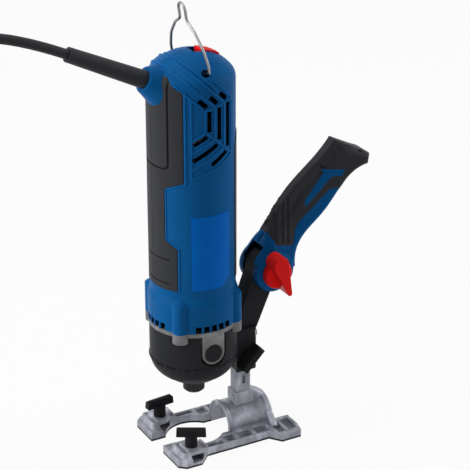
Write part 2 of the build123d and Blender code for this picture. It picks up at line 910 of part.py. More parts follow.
with BuildPart() as rear_bearing_inner:
    with BuildSketch(Plane.XY.offset(rear_bearing_z)):
        Circle(rear_race_r)
        Circle(rear_bearing_bore_r, mode=Mode.SUBTRACT)
    extrude(amount=rear_bearing_w)
rear_bearing_inner.part.label = "rear_bearing_inner"
export_step(rear_bearing_inner.part, "parts/rear_bearing_inner.step")

with BuildPart() as rear_bearing_sleeve:
    with BuildSketch(Plane.XY.offset(rear_bearing_z - 1)):
        Circle(bearing_seat_r)
        Circle(rear_bearing_r, mode=Mode.SUBTRACT)
    extrude(amount=rear_bearing_w + 2)
rear_bearing_sleeve.part.label = "rear_bearing_sleeve"
export_step(rear_bearing_sleeve.part, "parts/rear_bearing_sleeve.step")

# Stator: a yoke with two poles, one facing each way along Y
stator_inner_r = stator_r - stator_yoke
sector_reach = 2 * stator_r
coil_half_angle = 90 - pole_half_angle


def side_sectors(half_angle, outer_r, inner_r):
    """Ring sectors on the +X and -X sides, on the sketch in hand."""
    spread = sector_reach * math.tan(math.radians(half_angle))
    with BuildSketch(mode=Mode.PRIVATE) as sectors:
        Polygon((0, 0), (sector_reach, -spread), (sector_reach, spread))
        Polygon((0, 0), (-sector_reach, spread), (-sector_reach, -spread))
        Circle(outer_r, mode=Mode.INTERSECT)
        Circle(inner_r, mode=Mode.SUBTRACT)
    return sectors.sketch


with BuildPart() as stator_core:
    with BuildSketch(Plane.XY.offset(stator_bottom_z)):
        Circle(stator_r)
        Circle(stator_bore_r, mode=Mode.SUBTRACT)
        add(side_sectors(coil_half_angle, stator_inner_r, stator_bore_r - 1), mode=Mode.SUBTRACT)
    extrude(amount=stator_length)
stator_core.part.label = "stator_core"
export_step(stator_core.part, "parts/stator_core.step")

coil_inner_r = stator_bore_r + coil_gap
with BuildPart() as field_coils:
    with BuildSketch(Plane.XY.offset(stator_bottom_z)):
        add(side_sectors(coil_half_angle, stator_inner_r, coil_inner_r))
    extrude(amount=stator_length)
    for coil_z in (stator_bottom_z - coil_end, stator_top_z):
        with BuildSketch(Plane.XY.offset(coil_z)):
            Circle(stator_inner_r)
            Circle(coil_inner_r, mode=Mode.SUBTRACT)
        extrude(amount=coil_end)
field_coils.part.label = "field_coils"
export_step(field_coils.part, "parts/field_coils.step")

with BuildPart() as air_baffle:
    with BuildSketch(Plane.XY.offset(baffle_z)):
        Circle(lower_bay_r)
        Circle(baffle_bore_r, mode=Mode.SUBTRACT)
    extrude(amount=baffle_t)
air_baffle.part.label = "air_baffle"
export_step(air_baffle.part, "parts/air_baffle.step")

# Brush gear, alike on both sides
brush_tip_x = commutator_r + running_clearance
brush_tail_x = brush_tip_x + brush_length
holder_start_x = commutator_r + 2
with BuildPart() as brush_holders:
    with BuildSketch(Plane.YZ):
        with Locations((0, brush_z)):
            Rectangle(2 * holder_half_y, 2 * holder_half_z)
    extrude(amount=holder_end, both=True)
    with BuildSketch(Plane.YZ):
        with Locations((0, brush_z)):
            Rectangle(brush_width, brush_height)
    extrude(amount=holder_end - holder_wall, both=True, mode=Mode.SUBTRACT)
    with BuildSketch(Plane.YZ):
        with Locations((0, brush_z)):
            Rectangle(4 * brush_width, 4 * brush_height)
    extrude(amount=holder_start_x, both=True, mode=Mode.SUBTRACT)
brush_holders.part.label = "brush_holders"
export_step(brush_holders.part, "parts/brush_holders.step")

with BuildPart() as carbon_brushes:
    with BuildSketch(Plane.YZ):
        with Locations((0, brush_z)):
            Rectangle(brush_width, brush_height)
    extrude(amount=brush_tail_x, both=True)
    with BuildSketch(Plane.XY.offset(brush_z - brush_height)):
        Circle(brush_tip_x)
    extrude(amount=2 * brush_height, mode=Mode.SUBTRACT)
carbon_brushes.part.label = "carbon_brushes"
export_step(carbon_brushes.part, "parts/carbon_brushes.step")

brush_spring_r = 2.1
brush_wire_r = 0.35
brush_spring_turns = 3
brush_spring_x = brush_tail_x + 1.5 * brush_wire_r
brush_spring_length = holder_end - holder_wall - brush_tail_x - 3 * brush_wire_r
with BuildPart() as brush_springs:
    with BuildLine():
        brush_helix = Helix(
            pitch=brush_spring_length / brush_spring_turns,
            height=brush_spring_length,
            radius=brush_spring_r,
            center=(brush_spring_x, 0, brush_z),
            direction=(1, 0, 0),
        )
    with BuildSketch(Plane(origin=brush_helix @ 0, z_dir=brush_helix % 0)):
        Circle(brush_wire_r)
    sweep(path=brush_helix, is_frenet=True)
    mirror(about=Plane.YZ)
brush_springs.part.label = "brush_springs"
export_step(brush_springs.part, "parts/brush_springs.step")

# Switch, capacitor and red slider
switch_left_x = -1.0
switch_right_x = 17.0
switch_half = 9.0
nib_x = 11.0
nib_half_x = 1.2
nib_half_y = 1.5
nib_drop = 3.0
with BuildPart() as switch_module:
    with BuildSketch(Plane.XY.offset(shelf_z + shelf_t)):
        with Locations(((switch_left_x + switch_right_x) / 2, 0)):
            Rectangle(switch_right_x - switch_left_x, 2 * switch_half)
    extrude(amount=switch_top_z - shelf_z - shelf_t)
    with BuildSketch(Plane.XY.offset(switch_top_z)):
        with Locations((nib_x - slider_travel / 2, 0)):
            Rectangle(slider_travel + 2 * nib_half_x + 2 * joint_gap, 2 * nib_half_y + 2 * joint_gap)
    extrude(amount=-nib_drop - joint_gap, mode=Mode.SUBTRACT)
switch_module.part.label = "switch_module"
export_step(switch_module.part, "parts/switch_module.step")

with BuildPart() as capacitor:
    with BuildSketch(Plane.YZ):
        with Locations((0, shelf_z - capacitor_r)):
            Circle(capacitor_r)
    extrude(amount=capacitor_length / 2, both=True)
capacitor.part.label = "capacitor"
export_step(capacitor.part, "parts/capacitor.step")

slider_flange_z = slider_flange_top_z - slider_flange_t
slider_ridges = 5
with BuildPart() as slider_grooves:
    with BuildSketch(Plane.XY.offset(slider_flange_top_z)):
        with Locations((slider_x, 0)):
            with GridLocations(2.4, 0, slider_ridges, 1):
                Rectangle(0.9, slider_width - 3)
    extrude(amount=roof_z - slider_flange_top_z + cut_over)
    add(body_solid(slider_rise - slider_groove), mode=Mode.SUBTRACT)

with BuildPart() as switch_slider:
    with BuildSketch(Plane.XY.offset(slider_flange_z)):
        with Locations((slider_x, 0)):
            RectangleRounded(slider_length, slider_width, 1.2)
    extrude(amount=roof_z - slider_flange_z + cut_over)
    add(body_solid(slider_rise), mode=Mode.INTERSECT)
    add(slider_grooves.part, mode=Mode.SUBTRACT)
    with BuildSketch(Plane.XY.offset(slider_flange_z)):
        with Locations((slider_x - 1, 0)):
            Rectangle(slider_length + 4, slider_width + 3)
    extrude(amount=slider_flange_t)
    with BuildSketch(Plane.XY.offset(slider_flange_z)):
        with Locations((nib_x, 0)):
            Rectangle(2 * nib_half_x, 2 * nib_half_y)
    extrude(amount=-nib_drop - (slider_flange_z - switch_top_z))
switch_slider.part.label = "switch_slider"
export_step(switch_slider.part, "parts/switch_slider.step")

# Hanger bail: one bent wire with its ends turned in to the pivots
bail_neck = 4.6
bail_lean_rad = math.radians(bail_lean)
bail_plane = Plane(
    origin=(0, 0, bail_z), x_dir=(0, 1, 0), z_dir=(math.cos(bail_lean_rad), 0, math.sin(bail_lean_rad))
)
bail_side = [
    (bail_pin_end, 0),
    (bail_half, 0),
    (bail_half, 6),
    (bail_half - 4, bail_height * 0.37),
    (bail_half - 13, bail_height * 0.6),
    (bail_neck, bail_height * 0.73),
    (bail_neck, bail_height),
]
bail_bends = [1.2, 12, 14, 12, 5, 4.4, 4.4, 5, 12, 14, 12, 1.2]
with BuildPart() as hanger_bail:
    with BuildLine(bail_plane) as bail_path:
        FilletPolyline(*bail_side, *[(-y, z) for y, z in reversed(bail_side)], radius=bail_bends)
    with BuildSketch(Plane(origin=bail_path.line @ 0, z_dir=bail_path.line % 0)):
        Circle(bail_wire_d / 2)
    sweep(path=bail_path.line)
hanger_bail.part.label = "hanger_bail"
export_step(hanger_bail.part, "parts/hanger_bail.step")

# Cable entry: clamp and boot
with BuildPart() as cord_clamp:
    with BuildSketch(gland_plane(-clamp_reach - clamp_length)):
        Rectangle(2 * clamp_half, 12)
        Circle(cord_d / 2, mode=Mode.SUBTRACT)
        with Locations((-clamp_screw_y, 0), (clamp_screw_y, 0)):
            Circle(small_screw_r, mode=Mode.SUBTRACT)
    extrude(amount=clamp_length)
cord_clamp.part.label = "cord_clamp"
export_step(cord_clamp.part, "parts/cord_clamp.step")

with BuildPart() as cord_clamp_screws:
    with BuildSketch(gland_plane(-clamp_reach)):
        with Locations((-clamp_screw_y, 0), (clamp_screw_y, 0)):
            Circle(small_screw_r)
    extrude(amount=-clamp_length - clamp_screw_depth)
    with BuildSketch(gland_plane(-clamp_reach)):
        with Locations((-clamp_screw_y, 0), (clamp_screw_y, 0)):
            Circle(small_head_r)
    extrude(amount=small_head_t)
cord_clamp_screws.part.label = "cord_clamp_screws"
export_step(cord_clamp_screws.part, "parts/cord_clamp_screws.step")

with BuildPart() as cord_boot:
    with BuildSketch(gland_plane(-boot_seat)):
        Circle(boot_r)
    extrude(amount=boot_seat)
    with BuildSketch(gland_plane(0)):
        Circle(boot_r)
    with BuildSketch(gland_plane(boot_length)):
        Circle(boot_tip_r)
    loft()
    with BuildSketch(gland_plane(-boot_seat)):
        Circle(boot_flange_r)
    extrude(amount=-boot_flange_t)
    with BuildSketch(gland_plane(-boot_seat - boot_flange_t)):
        Circle(cord_d / 2)
    extrude(amount=boot_length + boot_seat + boot_flange_t, mode=Mode.SUBTRACT)
cord_boot.part.label = "cord_boot"
export_step(cord_boot.part, "parts/cord_boot.step")

cord_tail_reach = clamp_reach + clamp_length + clamp_web + 2
with BuildPart() as cord_tail:
    with BuildSketch(gland_plane(-cord_tail_reach)):
        Circle(cord_d / 2)
    extrude(amount=cord_tail_reach + boot_length)
cord_tail.part.label = "cord_tail"
export_step(cord_tail.part, "parts/cord_tail.step")

# End shield
screw_seat_z = shield_lug_z + small_head_t + 1.5
guard_inner_r = guard_r - guard_wall
shield_screw_length = 20.0
lobe_start = hub_r - 5
with BuildPart() as end_shield:
    with BuildSketch(Plane.XY.offset(shield_plate_z)):
        Circle(shield_r)
    extrude(amount=flange_bottom_z - shield_plate_z)
    with BuildSketch(Plane.XY.offset(shield_skirt_z)):
        Circle(guard_inner_r - running_clearance)
        Circle(shield_skirt_r, mode=Mode.SUBTRACT)
    extrude(amount=shield_plate_z - shield_skirt_z)
    with BuildSketch(Plane.XY.offset(shield_lug_z)):
        with PolarLocations(boss_circle_r, 4, start_angle=45):
            Circle(boss_r)
    extrude(amount=flange_bottom_z - shield_lug_z)
    with BuildSketch(Plane.XY.offset(shield_skirt_z)):
        Circle(shield_skirt_r)
    extrude(amount=shield_plate_z - shield_skirt_z, mode=Mode.SUBTRACT)
    with BuildSketch(Plane.XY.offset(hub_bottom_z)):
        Circle(hub_r)
    extrude(amount=shield_plate_z - hub_bottom_z)
    with BuildSketch(Plane.XZ.offset(lobe_start)):
        with Locations((0, lock_z)):
            Circle(lobe_r)
        with Locations((0, (lock_z + shield_plate_z) / 2)):
            Rectangle(2 * lobe_r, shield_plate_z - lock_z)
    extrude(amount=-lobe_face_y - lobe_start)
    with BuildSketch(Plane.XY.offset(lock_z - 2 * lobe_r)):
        Circle(hub_bore_r)
    extrude(amount=front_bearing_z - lock_z + 2 * lobe_r, mode=Mode.SUBTRACT)
    with BuildSketch(Plane.XY.offset(front_bearing_z)):
        Circle(front_bearing_r)
    extrude(amount=front_bearing_w, mode=Mode.SUBTRACT)
    with BuildSketch(Plane.XY.offset(front_seat_top_z)):
        Circle(shield_bore_r)
    extrude(amount=flange_bottom_z - front_seat_top_z, mode=Mode.SUBTRACT)
    # Lock button bore and pin guide
    with BuildSketch(Plane.XZ.offset(-lobe_face_y)):
        with Locations((0, lock_z)):
            Circle(lock_button_r + running_clearance)
    extrude(amount=-lock_bore_floor, mode=Mode.SUBTRACT)
    with BuildSketch(Plane.XZ.offset(-lobe_face_y)):
        with Locations((0, lock_z)):
            Circle(lock_pin_r + running_clearance)
    extrude(amount=lobe_face_y + hub_bore_r - 2, mode=Mode.SUBTRACT)
    # Screw holes with pockets for the heads
    with BuildSketch(Plane.XY.offset(shield_skirt_z)):
        with PolarLocations(boss_circle_r, 4, start_angle=45):
            Circle(small_screw_r)
    extrude(amount=flange_bottom_z - shield_skirt_z, mode=Mode.SUBTRACT)
    with BuildSketch(Plane.XY.offset(shield_skirt_z)):
        with PolarLocations(boss_circle_r, 4, start_angle=45):
            Circle(small_head_r)
    extrude(amount=screw_seat_z - shield_skirt_z, mode=Mode.SUBTRACT)
end_shield.part.label = "end_shield"
export_step(end_shield.part, "parts/end_shield.step")

with BuildPart() as shield_screws:
    with BuildSketch(Plane.XY.offset(screw_seat_z)):
        with PolarLocations(boss_circle_r, 4, start_angle=45):
            Circle(small_screw_r)
    extrude(amount=shield_screw_length)
    with BuildSketch(Plane.XY.offset(screw_seat_z)):
        with PolarLocations(boss_circle_r, 4, start_angle=45):
            Circle(small_head_r)
    extrude(amount=-small_head_t)
shield_screws.part.label = "shield_screws"
export_step(shield_screws.part, "parts/shield_screws.step")

# Spindle lock
button_face_y = lobe_face_y - lock_button_proud
button_back_y = button_face_y + lock_button_height
pin_tip_y = -lock_ring_r - joint_gap
with BuildPart() as lock_button:
    with BuildSketch(Plane.XZ.offset(-button_face_y)):
        with Locations((0, lock_z)):
            Circle(lock_button_r)
    extrude(amount=-lock_button_height)
    fillet(lock_button.faces().sort_by(Axis.Y)[0].edges(), 0.9)
    with BuildSketch(Plane.XZ.offset(-button_back_y)):
        with Locations((0, lock_z)):
            Circle(lock_pin_r)
    extrude(amount=button_back_y - pin_tip_y)
lock_button.part.label = "lock_button"
export_step(lock_button.part, "parts/lock_button.step")

lock_spring_r = 4.0
lock_wire_r = 0.4
lock_spring_y = button_back_y + 1.5 * lock_wire_r
lock_spring_length = lobe_face_y + lock_bore_floor - button_back_y - 3 * lock_wire_r
with BuildPart() as lock_spring:
    with BuildLine():
        lock_helix = Helix(
            pitch=lock_spring_length / lock_spring_turns,
            height=lock_spring_length,
            radius=lock_spring_r,
            center=(0, lock_spring_y, lock_z),
            direction=(0, 1, 0),
        )
    with BuildSketch(Plane(origin=lock_helix @ 0, z_dir=lock_helix % 0)):
        Circle(lock_wire_r)
    sweep(path=lock_helix, is_frenet=True)
lock_spring.part.label = "lock_spring"
export_step(lock_spring.part, "parts/lock_spring.step")

# Nose guard: a bowl with a notch for the lock's boss
pad_half = bracket_half + 1
pad_x = guard_inner_r - 4.5
bracket_screw_z = 39.0
bracket_screw_y = 7.6
with BuildPart() as nose_guard:
    with BuildSketch(Plane.XZ):
        with BuildLine():
            Line((guard_r, guard_top_z), (guard_r, guard_bend_z))
            TangentArc((guard_r, guard_bend_z), (guard_shoulder_r, guard_shoulder_z), tangent=(0, -1))
            Polyline(
                (guard_shoulder_r, guard_shoulder_z),
                (guard_lip_r, guard_shoulder_z - guard_lip_drop),
                (guard_mouth_r, guard_mouth_z),
                (guard_mouth_r, guard_mouth_z + guard_wall),
                (guard_lip_r - 1, guard_shoulder_z - guard_lip_drop + guard_wall),
                (guard_shoulder_r - 1, guard_shoulder_z + guard_wall),
            )
            TangentArc(
                (guard_inner_r, guard_bend_z),
                (guard_shoulder_r - 1, guard_shoulder_z + guard_wall),
                tangent=(0, -1),
            )
            Polyline(
                (guard_inner_r, guard_bend_z),
                (guard_inner_r, guard_top_z),
                (guard_r, guard_top_z),
            )
        make_face()
    revolve(axis=Axis.Z)
    with BuildSketch(Plane.XY.offset(bracket_screw_z - 6)):
        with Locations(((guard_inner_r + pad_x) / 2, 0)):
            Rectangle(guard_inner_r - pad_x, 2 * pad_half)
        Circle(guard_r - guard_wall / 2, mode=Mode.INTERSECT)
    extrude(amount=12)
    with BuildSketch(Plane.XZ.offset(shield_skirt_r / 2)):
        with Locations((0, lock_z)):
            Circle(lobe_r + lobe_gap)
        with Locations((0, lock_z + 10)):
            Rectangle(2 * lobe_r + 2 * lobe_gap, 20)
    extrude(amount=guard_r, mode=Mode.SUBTRACT)
    with BuildSketch(Plane.XY.offset(shield_lug_z - joint_gap)):
        with PolarLocations(boss_circle_r, 4, start_angle=45):
            Circle(boss_r + joint_gap)
    extrude(amount=guard_top_z - shield_lug_z + cut_over, mode=Mode.SUBTRACT)
    with BuildSketch(Plane.YZ.offset(pad_x)):
        with Locations((-bracket_screw_y, bracket_screw_z), (bracket_screw_y, bracket_screw_z)):
            Circle(small_screw_r)
    extrude(amount=guard_r, mode=Mode.SUBTRACT)
nose_guard.part.label = "nose_guard"
export_step(nose_guard.part, "parts/nose_guard.step")
print("guard solids", len(nose_guard.part.solids()), "shield solids", len(end_shield.part.solids()))

# Guide bracket: saddle on the guard, channel for the depth post, and the lug the handle swings on
channel_half_x = post_w / 2 + slide_clearance
channel_half_y = post_t / 2 + slide_clearance
channel_top_z = 50.0
lug_root_x = guard_r + 1.0
with BuildPart() as guide_bracket:
    with BuildSketch(Plane.XY.offset(bracket_bottom_z)):
        with Locations(((bracket_left_x + bracket_right_x) / 2, 0)):
            Rectangle(bracket_right_x - bracket_left_x, 2 * bracket_half)
    extrude(amount=bracket_top_z - bracket_bottom_z)
    fillet(guide_bracket.edges().filter_by(Axis.Z).group_by(Axis.X)[-1], 3)
    with BuildSketch(Plane.XZ):
        with BuildLine():
            Polyline(
                (lug_root_x, bracket_bottom_z + 20),
                (bracket_right_x, bracket_bottom_z + 20),
                (bracket_right_x, lug_bend_z),
                (pivot_x + 2, pivot_z - 12.5),
                (pivot_x, pivot_z),
                (pivot_x - 12, pivot_z + 6),
                (lug_root_x + 1, saddle_top_z),
                close=True,
            )
        make_face()
        with Locations((pivot_x, pivot_z)):
            Circle(lug_r)
    extrude(amount=lug_half, both=True)
    with BuildSketch(Plane.XY.offset(bracket_bottom_z)):
        Circle(guard_r)
    extrude(amount=saddle_top_z - bracket_bottom_z, mode=Mode.SUBTRACT)
    with BuildSketch(Plane.XY.offset(bracket_bottom_z)):
        with Locations((post_x, 0)):
            Rectangle(2 * channel_half_x, 2 * channel_half_y)
    extrude(amount=channel_top_z - bracket_bottom_z, mode=Mode.SUBTRACT)
    with BuildSketch(Plane.XZ):
        with Locations((pivot_x, pivot_z)):
            Circle(bolt_r + running_clearance)
    extrude(amount=bracket_half, both=True, mode=Mode.SUBTRACT)
    with BuildSketch(Plane.XZ.offset(bracket_half)):
        with Locations((post_x, clamp_z)):
            Circle(stud_r + running_clearance)
    extrude(amount=-bracket_half, mode=Mode.SUBTRACT)
    with BuildSketch(Plane.YZ.offset(pad_x)):
        with Locations((-bracket_screw_y, bracket_screw_z), (bracket_screw_y, bracket_screw_z)):
            Circle(small_screw_r)
    extrude(amount=bracket_right_x - pad_x, mode=Mode.SUBTRACT)
    with BuildSketch(Plane.YZ.offset(bracket_right_x - small_head_t)):
        with Locations((-bracket_screw_y, bracket_screw_z), (bracket_screw_y, bracket_screw_z)):
            Circle(small_head_r)
    extrude(amount=bracket_right_x, mode=Mode.SUBTRACT)
guide_bracket.part.label = "guide_bracket"
export_step(guide_bracket.part, "parts/guide_bracket.step")
print("bracket solids", len(guide_bracket.part.solids()))

with BuildPart() as bracket_screws:
    with BuildSketch(Plane.YZ.offset(pad_x)):
        with Locations((-bracket_screw_y, bracket_screw_z), (bracket_screw_y, bracket_screw_z)):
            Circle(small_screw_r)
    extrude(amount=bracket_right_x - small_head_t - pad_x)
    with BuildSketch(Plane.YZ.offset(bracket_right_x - small_head_t)):
        with Locations((-bracket_screw_y, bracket_screw_z), (bracket_screw_y, bracket_screw_z)):
            Circle(small_head_r)
    extrude(amount=small_head_t - 0.4)
bracket_screws.part.label = "bracket_screws"
export_step(bracket_screws.part, "parts/bracket_screws.step")

# Auxiliary handle, drawn in a frame that leans with it: first number along the handle, second across it
handle_lean = math.radians(handle_tilt)
handle_plane = Plane(
    origin=(pivot_x, 0, pivot_z), x_dir=(math.sin(handle_lean), 0, math.cos(handle_lean)), z_dir=(0, -1, 0)
)
butt_top = (103.0, 19.2)
butt_bottom = (111.4, -6.3)
butt_hook = (104.7, -11.1)
back_edge = [(-4, 17.4), (28, 20), (55, 22), (88, 18.9)]
palm_edge = [(93, -4.6), (57, -4.8), (32, -3.0), (13, -14)]
knuckle_edge = [(0, -12), (-10, 0)]
grip_region = [
    (130, 40), (19, 40), (19, 19), (15.5, 14), (20, 7), (22.9, 1.7), (34.9, 9.6), (39.4, 10.2),
    (72.6, 5.6), (76.2, 1.5), (76.2, -40), (130, -40),
]
flash_outline = [(54.3, 17.7), (81.9, 18.8), (90.4, 5.3), (85.6, 3.7), (80.5, 11), (50.6, 13.5)]
handle_screw_spots = [(31, 1.5), (63, 0.5)]
handle_head_y = 7.0
handle_screw_length = 15.0


def handle_blank(half, shrink):
    """Handle without its ears, half as thick as given each way, its outline drawn in by shrink."""
    top = (butt_top[0] - shrink, butt_top[1] - shrink)
    bottom = (butt_bottom[0] - shrink, butt_bottom[1] + 3 * shrink)
    hook = (butt_hook[0] - 2 * shrink, butt_hook[1] + 4 * shrink)
    back = [(along, across - shrink) for along, across in back_edge]
    palm = [(along, across + shrink) for along, across in palm_edge]
    with BuildPart() as solid:
        with BuildSketch(handle_plane):
            with BuildLine():
                Spline(*back, top)
                Polyline(top, bottom, hook)
                Spline(hook, *palm)
                Polyline(palm[-1], *knuckle_edge, back[0])
            make_face()
        extrude(amount=half, both=True)
    return solid.part


def handle_prism(corners):
    """Straight block across the handle."""
    with BuildPart() as solid:
        with BuildSketch(handle_plane):
            with BuildLine():
                Polyline(*corners, close=True)
            make_face()
        extrude(amount=2 * ear_half, both=True)
    return solid.part


with BuildPart() as handle_shape:
    add(handle_blank(handle_half, 0))
    handle_sides = handle_shape.faces().sort_by(Axis.Y)
    side_edges = handle_sides[0].edges() + handle_sides[-1].edges()
    fillet(side_edges.filter_by(lambda edge: edge.center().X > pivot_x + 12), handle_round)

slot_half = lug_half + joint_gap
with BuildPart() as handle_ears:
    with BuildSketch(handle_plane):
        Circle(ear_r)
    extrude(amount=ear_half, both=True)
    chamfer(handle_ears.edges().filter_by(GeomType.CIRCLE), 1)

with BuildPart() as handle_core:
    add(handle_blank(handle_half - handle_skin, handle_skin))
    add(handle_prism(grip_region), mode=Mode.INTERSECT)

with BuildPart() as handle_flash:
    add(handle_shape.part)
    add(handle_prism(flash_outline), mode=Mode.INTERSECT)
    add(handle_prism(grip_region), mode=Mode.INTERSECT)

with BuildPart() as handle_body:
    add(handle_shape.part)
    add(handle_prism(grip_region), mode=Mode.SUBTRACT)
    add(handle_ears.part)
    add(handle_core.part)
    add(handle_flash.part)
    with BuildSketch(handle_plane):
        Circle(ear_slot_r)
    extrude(amount=slot_half, both=True, mode=Mode.SUBTRACT)
    with BuildSketch(handle_plane):
        Circle(bolt_r)
    extrude(amount=2 * ear_half, both=True, mode=Mode.SUBTRACT)
    with BuildSketch(handle_plane.offset(-handle_head_y)):
        with Locations(*handle_screw_spots):
            Circle(small_screw_r)
    extrude(amount=handle_screw_length, mode=Mode.SUBTRACT)
    with BuildSketch(handle_plane.offset(-handle_head_y)):
        with Locations(*handle_screw_spots):
            Circle(small_head_r)
    extrude(amount=-ear_half, mode=Mode.SUBTRACT)

with BuildPart() as handle_right:
    add(handle_body.part)
    split(bisect_by=Plane.XZ, keep=Keep.TOP)
handle_right.part.label = "handle_right"
export_step(handle_right.part, "parts/handle_right.step")

with BuildPart() as handle_left:
    add(handle_body.part)
    split(bisect_by=Plane.XZ, keep=Keep.BOTTOM)
handle_left.part.label = "handle_left"
export_step(handle_left.part, "parts/handle_left.step")

with BuildPart() as handle_grip:
    add(handle_shape.part)
    add(handle_prism(grip_region), mode=Mode.INTERSECT)
    add(handle_core.part, mode=Mode.SUBTRACT)
    add(handle_flash.part, mode=Mode.SUBTRACT)
handle_grip.part.label = "handle_grip"
export_step(handle_grip.part, "parts/handle_grip.step")
print("handle solids", [len(p.part.solids()) for p in (handle_right, handle_left, handle_grip)])

with BuildPart() as handle_screws:
    with BuildSketch(handle_plane.offset(-handle_head_y)):
        with Locations(*handle_screw_spots):
            Circle(small_screw_r)
    extrude(amount=handle_screw_length)
    with BuildSketch(handle_plane.offset(-handle_head_y)):
        with Locations(*handle_screw_spots):
            Circle(small_head_r)
    extrude(amount=-small_head_t)
handle_screws.part.label = "handle_screws"
export_step(handle_screws.part, "parts/handle_screws.step")

knob_face_y = ear_half + joint_gap
bolt_reach = knob_face_y + knob_depth - 4
with BuildPart() as handle_bolt:
    with BuildSketch(handle_plane.offset(-ear_half)):
        Circle(bolt_r)
    extrude(amount=ear_half + bolt_reach)
    with BuildSketch(handle_plane.offset(-ear_half)):
        RegularPolygon(bolt_head_r, 6)
    extrude(amount=-bolt_head_t)
handle_bolt.part.label = "handle_bolt"
export_step(handle_bolt.part, "parts/handle_bolt.step")

knob_plane = Plane(origin=(pivot_x, -knob_face_y, pivot_z), x_dir=(1, 0, 0), z_dir=(0, -1, 0))
wing_lean_rad = math.radians(wing_lean)
wing_up = (-math.sin(wing_lean_rad), math.cos(wing_lean_rad))
with BuildPart() as handle_knob:
    with BuildSketch(knob_plane):
        Circle(knob_r)
    extrude(amount=knob_base_t)
    fillet(handle_knob.faces().sort_by(Axis.Y)[0].edges(), 1.5)
    with BuildSketch(knob_plane.offset(knob_base_t / 2)):
        with Locations((wing_up[0] * wing_head_reach, wing_up[1] * wing_head_reach)):
            Circle(wing_head_r)
        with Locations((-wing_up[0] * wing_tail_reach, -wing_up[1] * wing_tail_reach)):
            Circle(wing_tail_r)
        make_hull()
    extrude(amount=knob_depth - knob_base_t / 2)
    fillet(handle_knob.faces().sort_by(Axis.Y)[0].edges(), 0.8)
    with BuildSketch(knob_plane):
        Circle(bolt_r + running_clearance)
    extrude(amount=bolt_reach - knob_face_y + 0.5, mode=Mode.SUBTRACT)
handle_knob.part.label = "handle_knob"
export_step(handle_knob.part, "parts/handle_knob.step")

# Depth foot
foot_z = sole_z + pad_t
rail_top_z = sole_z + rail_height
tip_top_z = sole_z + tip_height
arch_z = sole_z + arch_centre
bar_slot_z = sole_z + bar_slot_bottom
bar_slot_top_z = bar_slot_z + bar_slot_h
foot_half_outline = [
    (foot_front_x, -mouth_half),
    (foot_front_x, 4.5 - foot_half),
    (foot_front_x + 5, -foot_half),
    (-13.5, -foot_half),
    (-4.5, -rail_outer),
    (47.5, -rail_outer),
    (54, -foot_half),
    (foot_rear_x - 2, -foot_half),
    (foot_rear_x, -rail_outer),
    (foot_rear_x, -rail_inner),
    (10, -rail_inner),
    (0, -mouth_half),
]


def foot_plan():
    """Plan of the two rails, open at the front and round the cutter."""
    with BuildSketch() as plan:
        with BuildLine():
            Polyline(*foot_half_outline, close=True)
        make_face()
        mirror(about=Plane.XZ)
        Circle(clearance_r, mode=Mode.SUBTRACT)
    return plan.sketch


def arch_profile(plane, radius):
    """Round-topped gate shape that stands on the foot's underside."""
    with BuildSketch(plane, mode=Mode.PRIVATE) as gate:
        with Locations((0, arch_z)):
            Circle(radius)
        with Locations((0, arch_z - radius)):
            Rectangle(2 * radius, 2 * radius)
        with Locations((0, foot_z - radius)):
            Rectangle(4 * radius, 2 * radius, mode=Mode.SUBTRACT)
    return gate.sketch


arch_inner_r = arch_r - arch_wall
with BuildPart() as depth_foot:
    with BuildSketch(Plane.XY.offset(foot_z)):
        add(foot_plan())
    extrude(amount=rail_top_z - foot_z)
    chamfer(depth_foot.faces().sort_by(Axis.Z)[-1].edges(), 0.8)
    with BuildSketch(Plane.XY.offset(rail_top_z - 0.5)):
        with Locations((screw_x, screw_y), (screw_x, -screw_y)):
            RectangleRounded(tip_length, tip_width, tip_corner)
    extrude(amount=tip_top_z - rail_top_z + 0.5, taper=18)
    add(extrude(arch_profile(Plane.YZ.offset(arch_front_x), arch_r), amount=arch_rear_x - arch_front_x))
    add(extrude(arch_profile(Plane.YZ.offset(arch_rear_x - rim_t), rim_r), amount=rim_t))
    with BuildSketch(Plane.XY.offset(arch_z)):
        with Locations((post_x, 0)):
            Rectangle(post_w + 2 * pedestal_margin, post_t + 2 * pedestal_margin)
    extrude(amount=sole_z + pedestal_top - arch_z)
    with BuildSketch(Plane.XY.offset(arch_z)):
        with Locations((post_x, 0)):
            RectangleRounded(post_w, post_t, 0.8)
    extrude(amount=post_top_z - arch_z)
    tunnel_mouth = arch_profile(Plane.YZ.offset(arch_front_x - cut_over), arch_inner_r)
    add(extrude(tunnel_mouth, amount=foot_rear_x - arch_front_x + 2 * cut_over), mode=Mode.SUBTRACT)
    with BuildSketch(Plane.XY.offset(foot_z)):
        Circle(clearance_r)
    extrude(amount=tip_height, mode=Mode.SUBTRACT)
    with BuildSketch(Plane.XZ.offset(post_t / 2)):
        with Locations((post_x, post_slot_z)):
            SlotOverall(post_slot, post_slot_w, rotation=90)
    extrude(amount=-post_slot_depth, mode=Mode.SUBTRACT)
    # Ways for the straight guide's bar, with the clamp screws' holes above them
    with BuildSketch(Plane.XZ):
        with Locations((screw_x, (bar_slot_z + bar_slot_top_z) / 2)):
            Rectangle(bar_slot_w, bar_slot_h)
    extrude(amount=2 * foot_half, both=True, mode=Mode.SUBTRACT)
    with BuildSketch(Plane.XY.offset(bar_slot_z + 1)):
        with Locations((screw_x, screw_y), (screw_x, -screw_y)):
            Circle(stud_r + running_clearance)
    extrude(amount=tip_height, mode=Mode.SUBTRACT)
depth_foot.part.label = "depth_foot"
export_step(depth_foot.part, "parts/depth_foot.step")
print("foot solids", len(depth_foot.part.solids()))

with BuildPart() as sole_pads:
    with BuildSketch(Plane.XY.offset(sole_z)):
        add(foot_plan())
    extrude(amount=pad_t)
sole_pads.part.label = "sole_pads"
export_step(sole_pads.part, "parts/sole_pads.step")


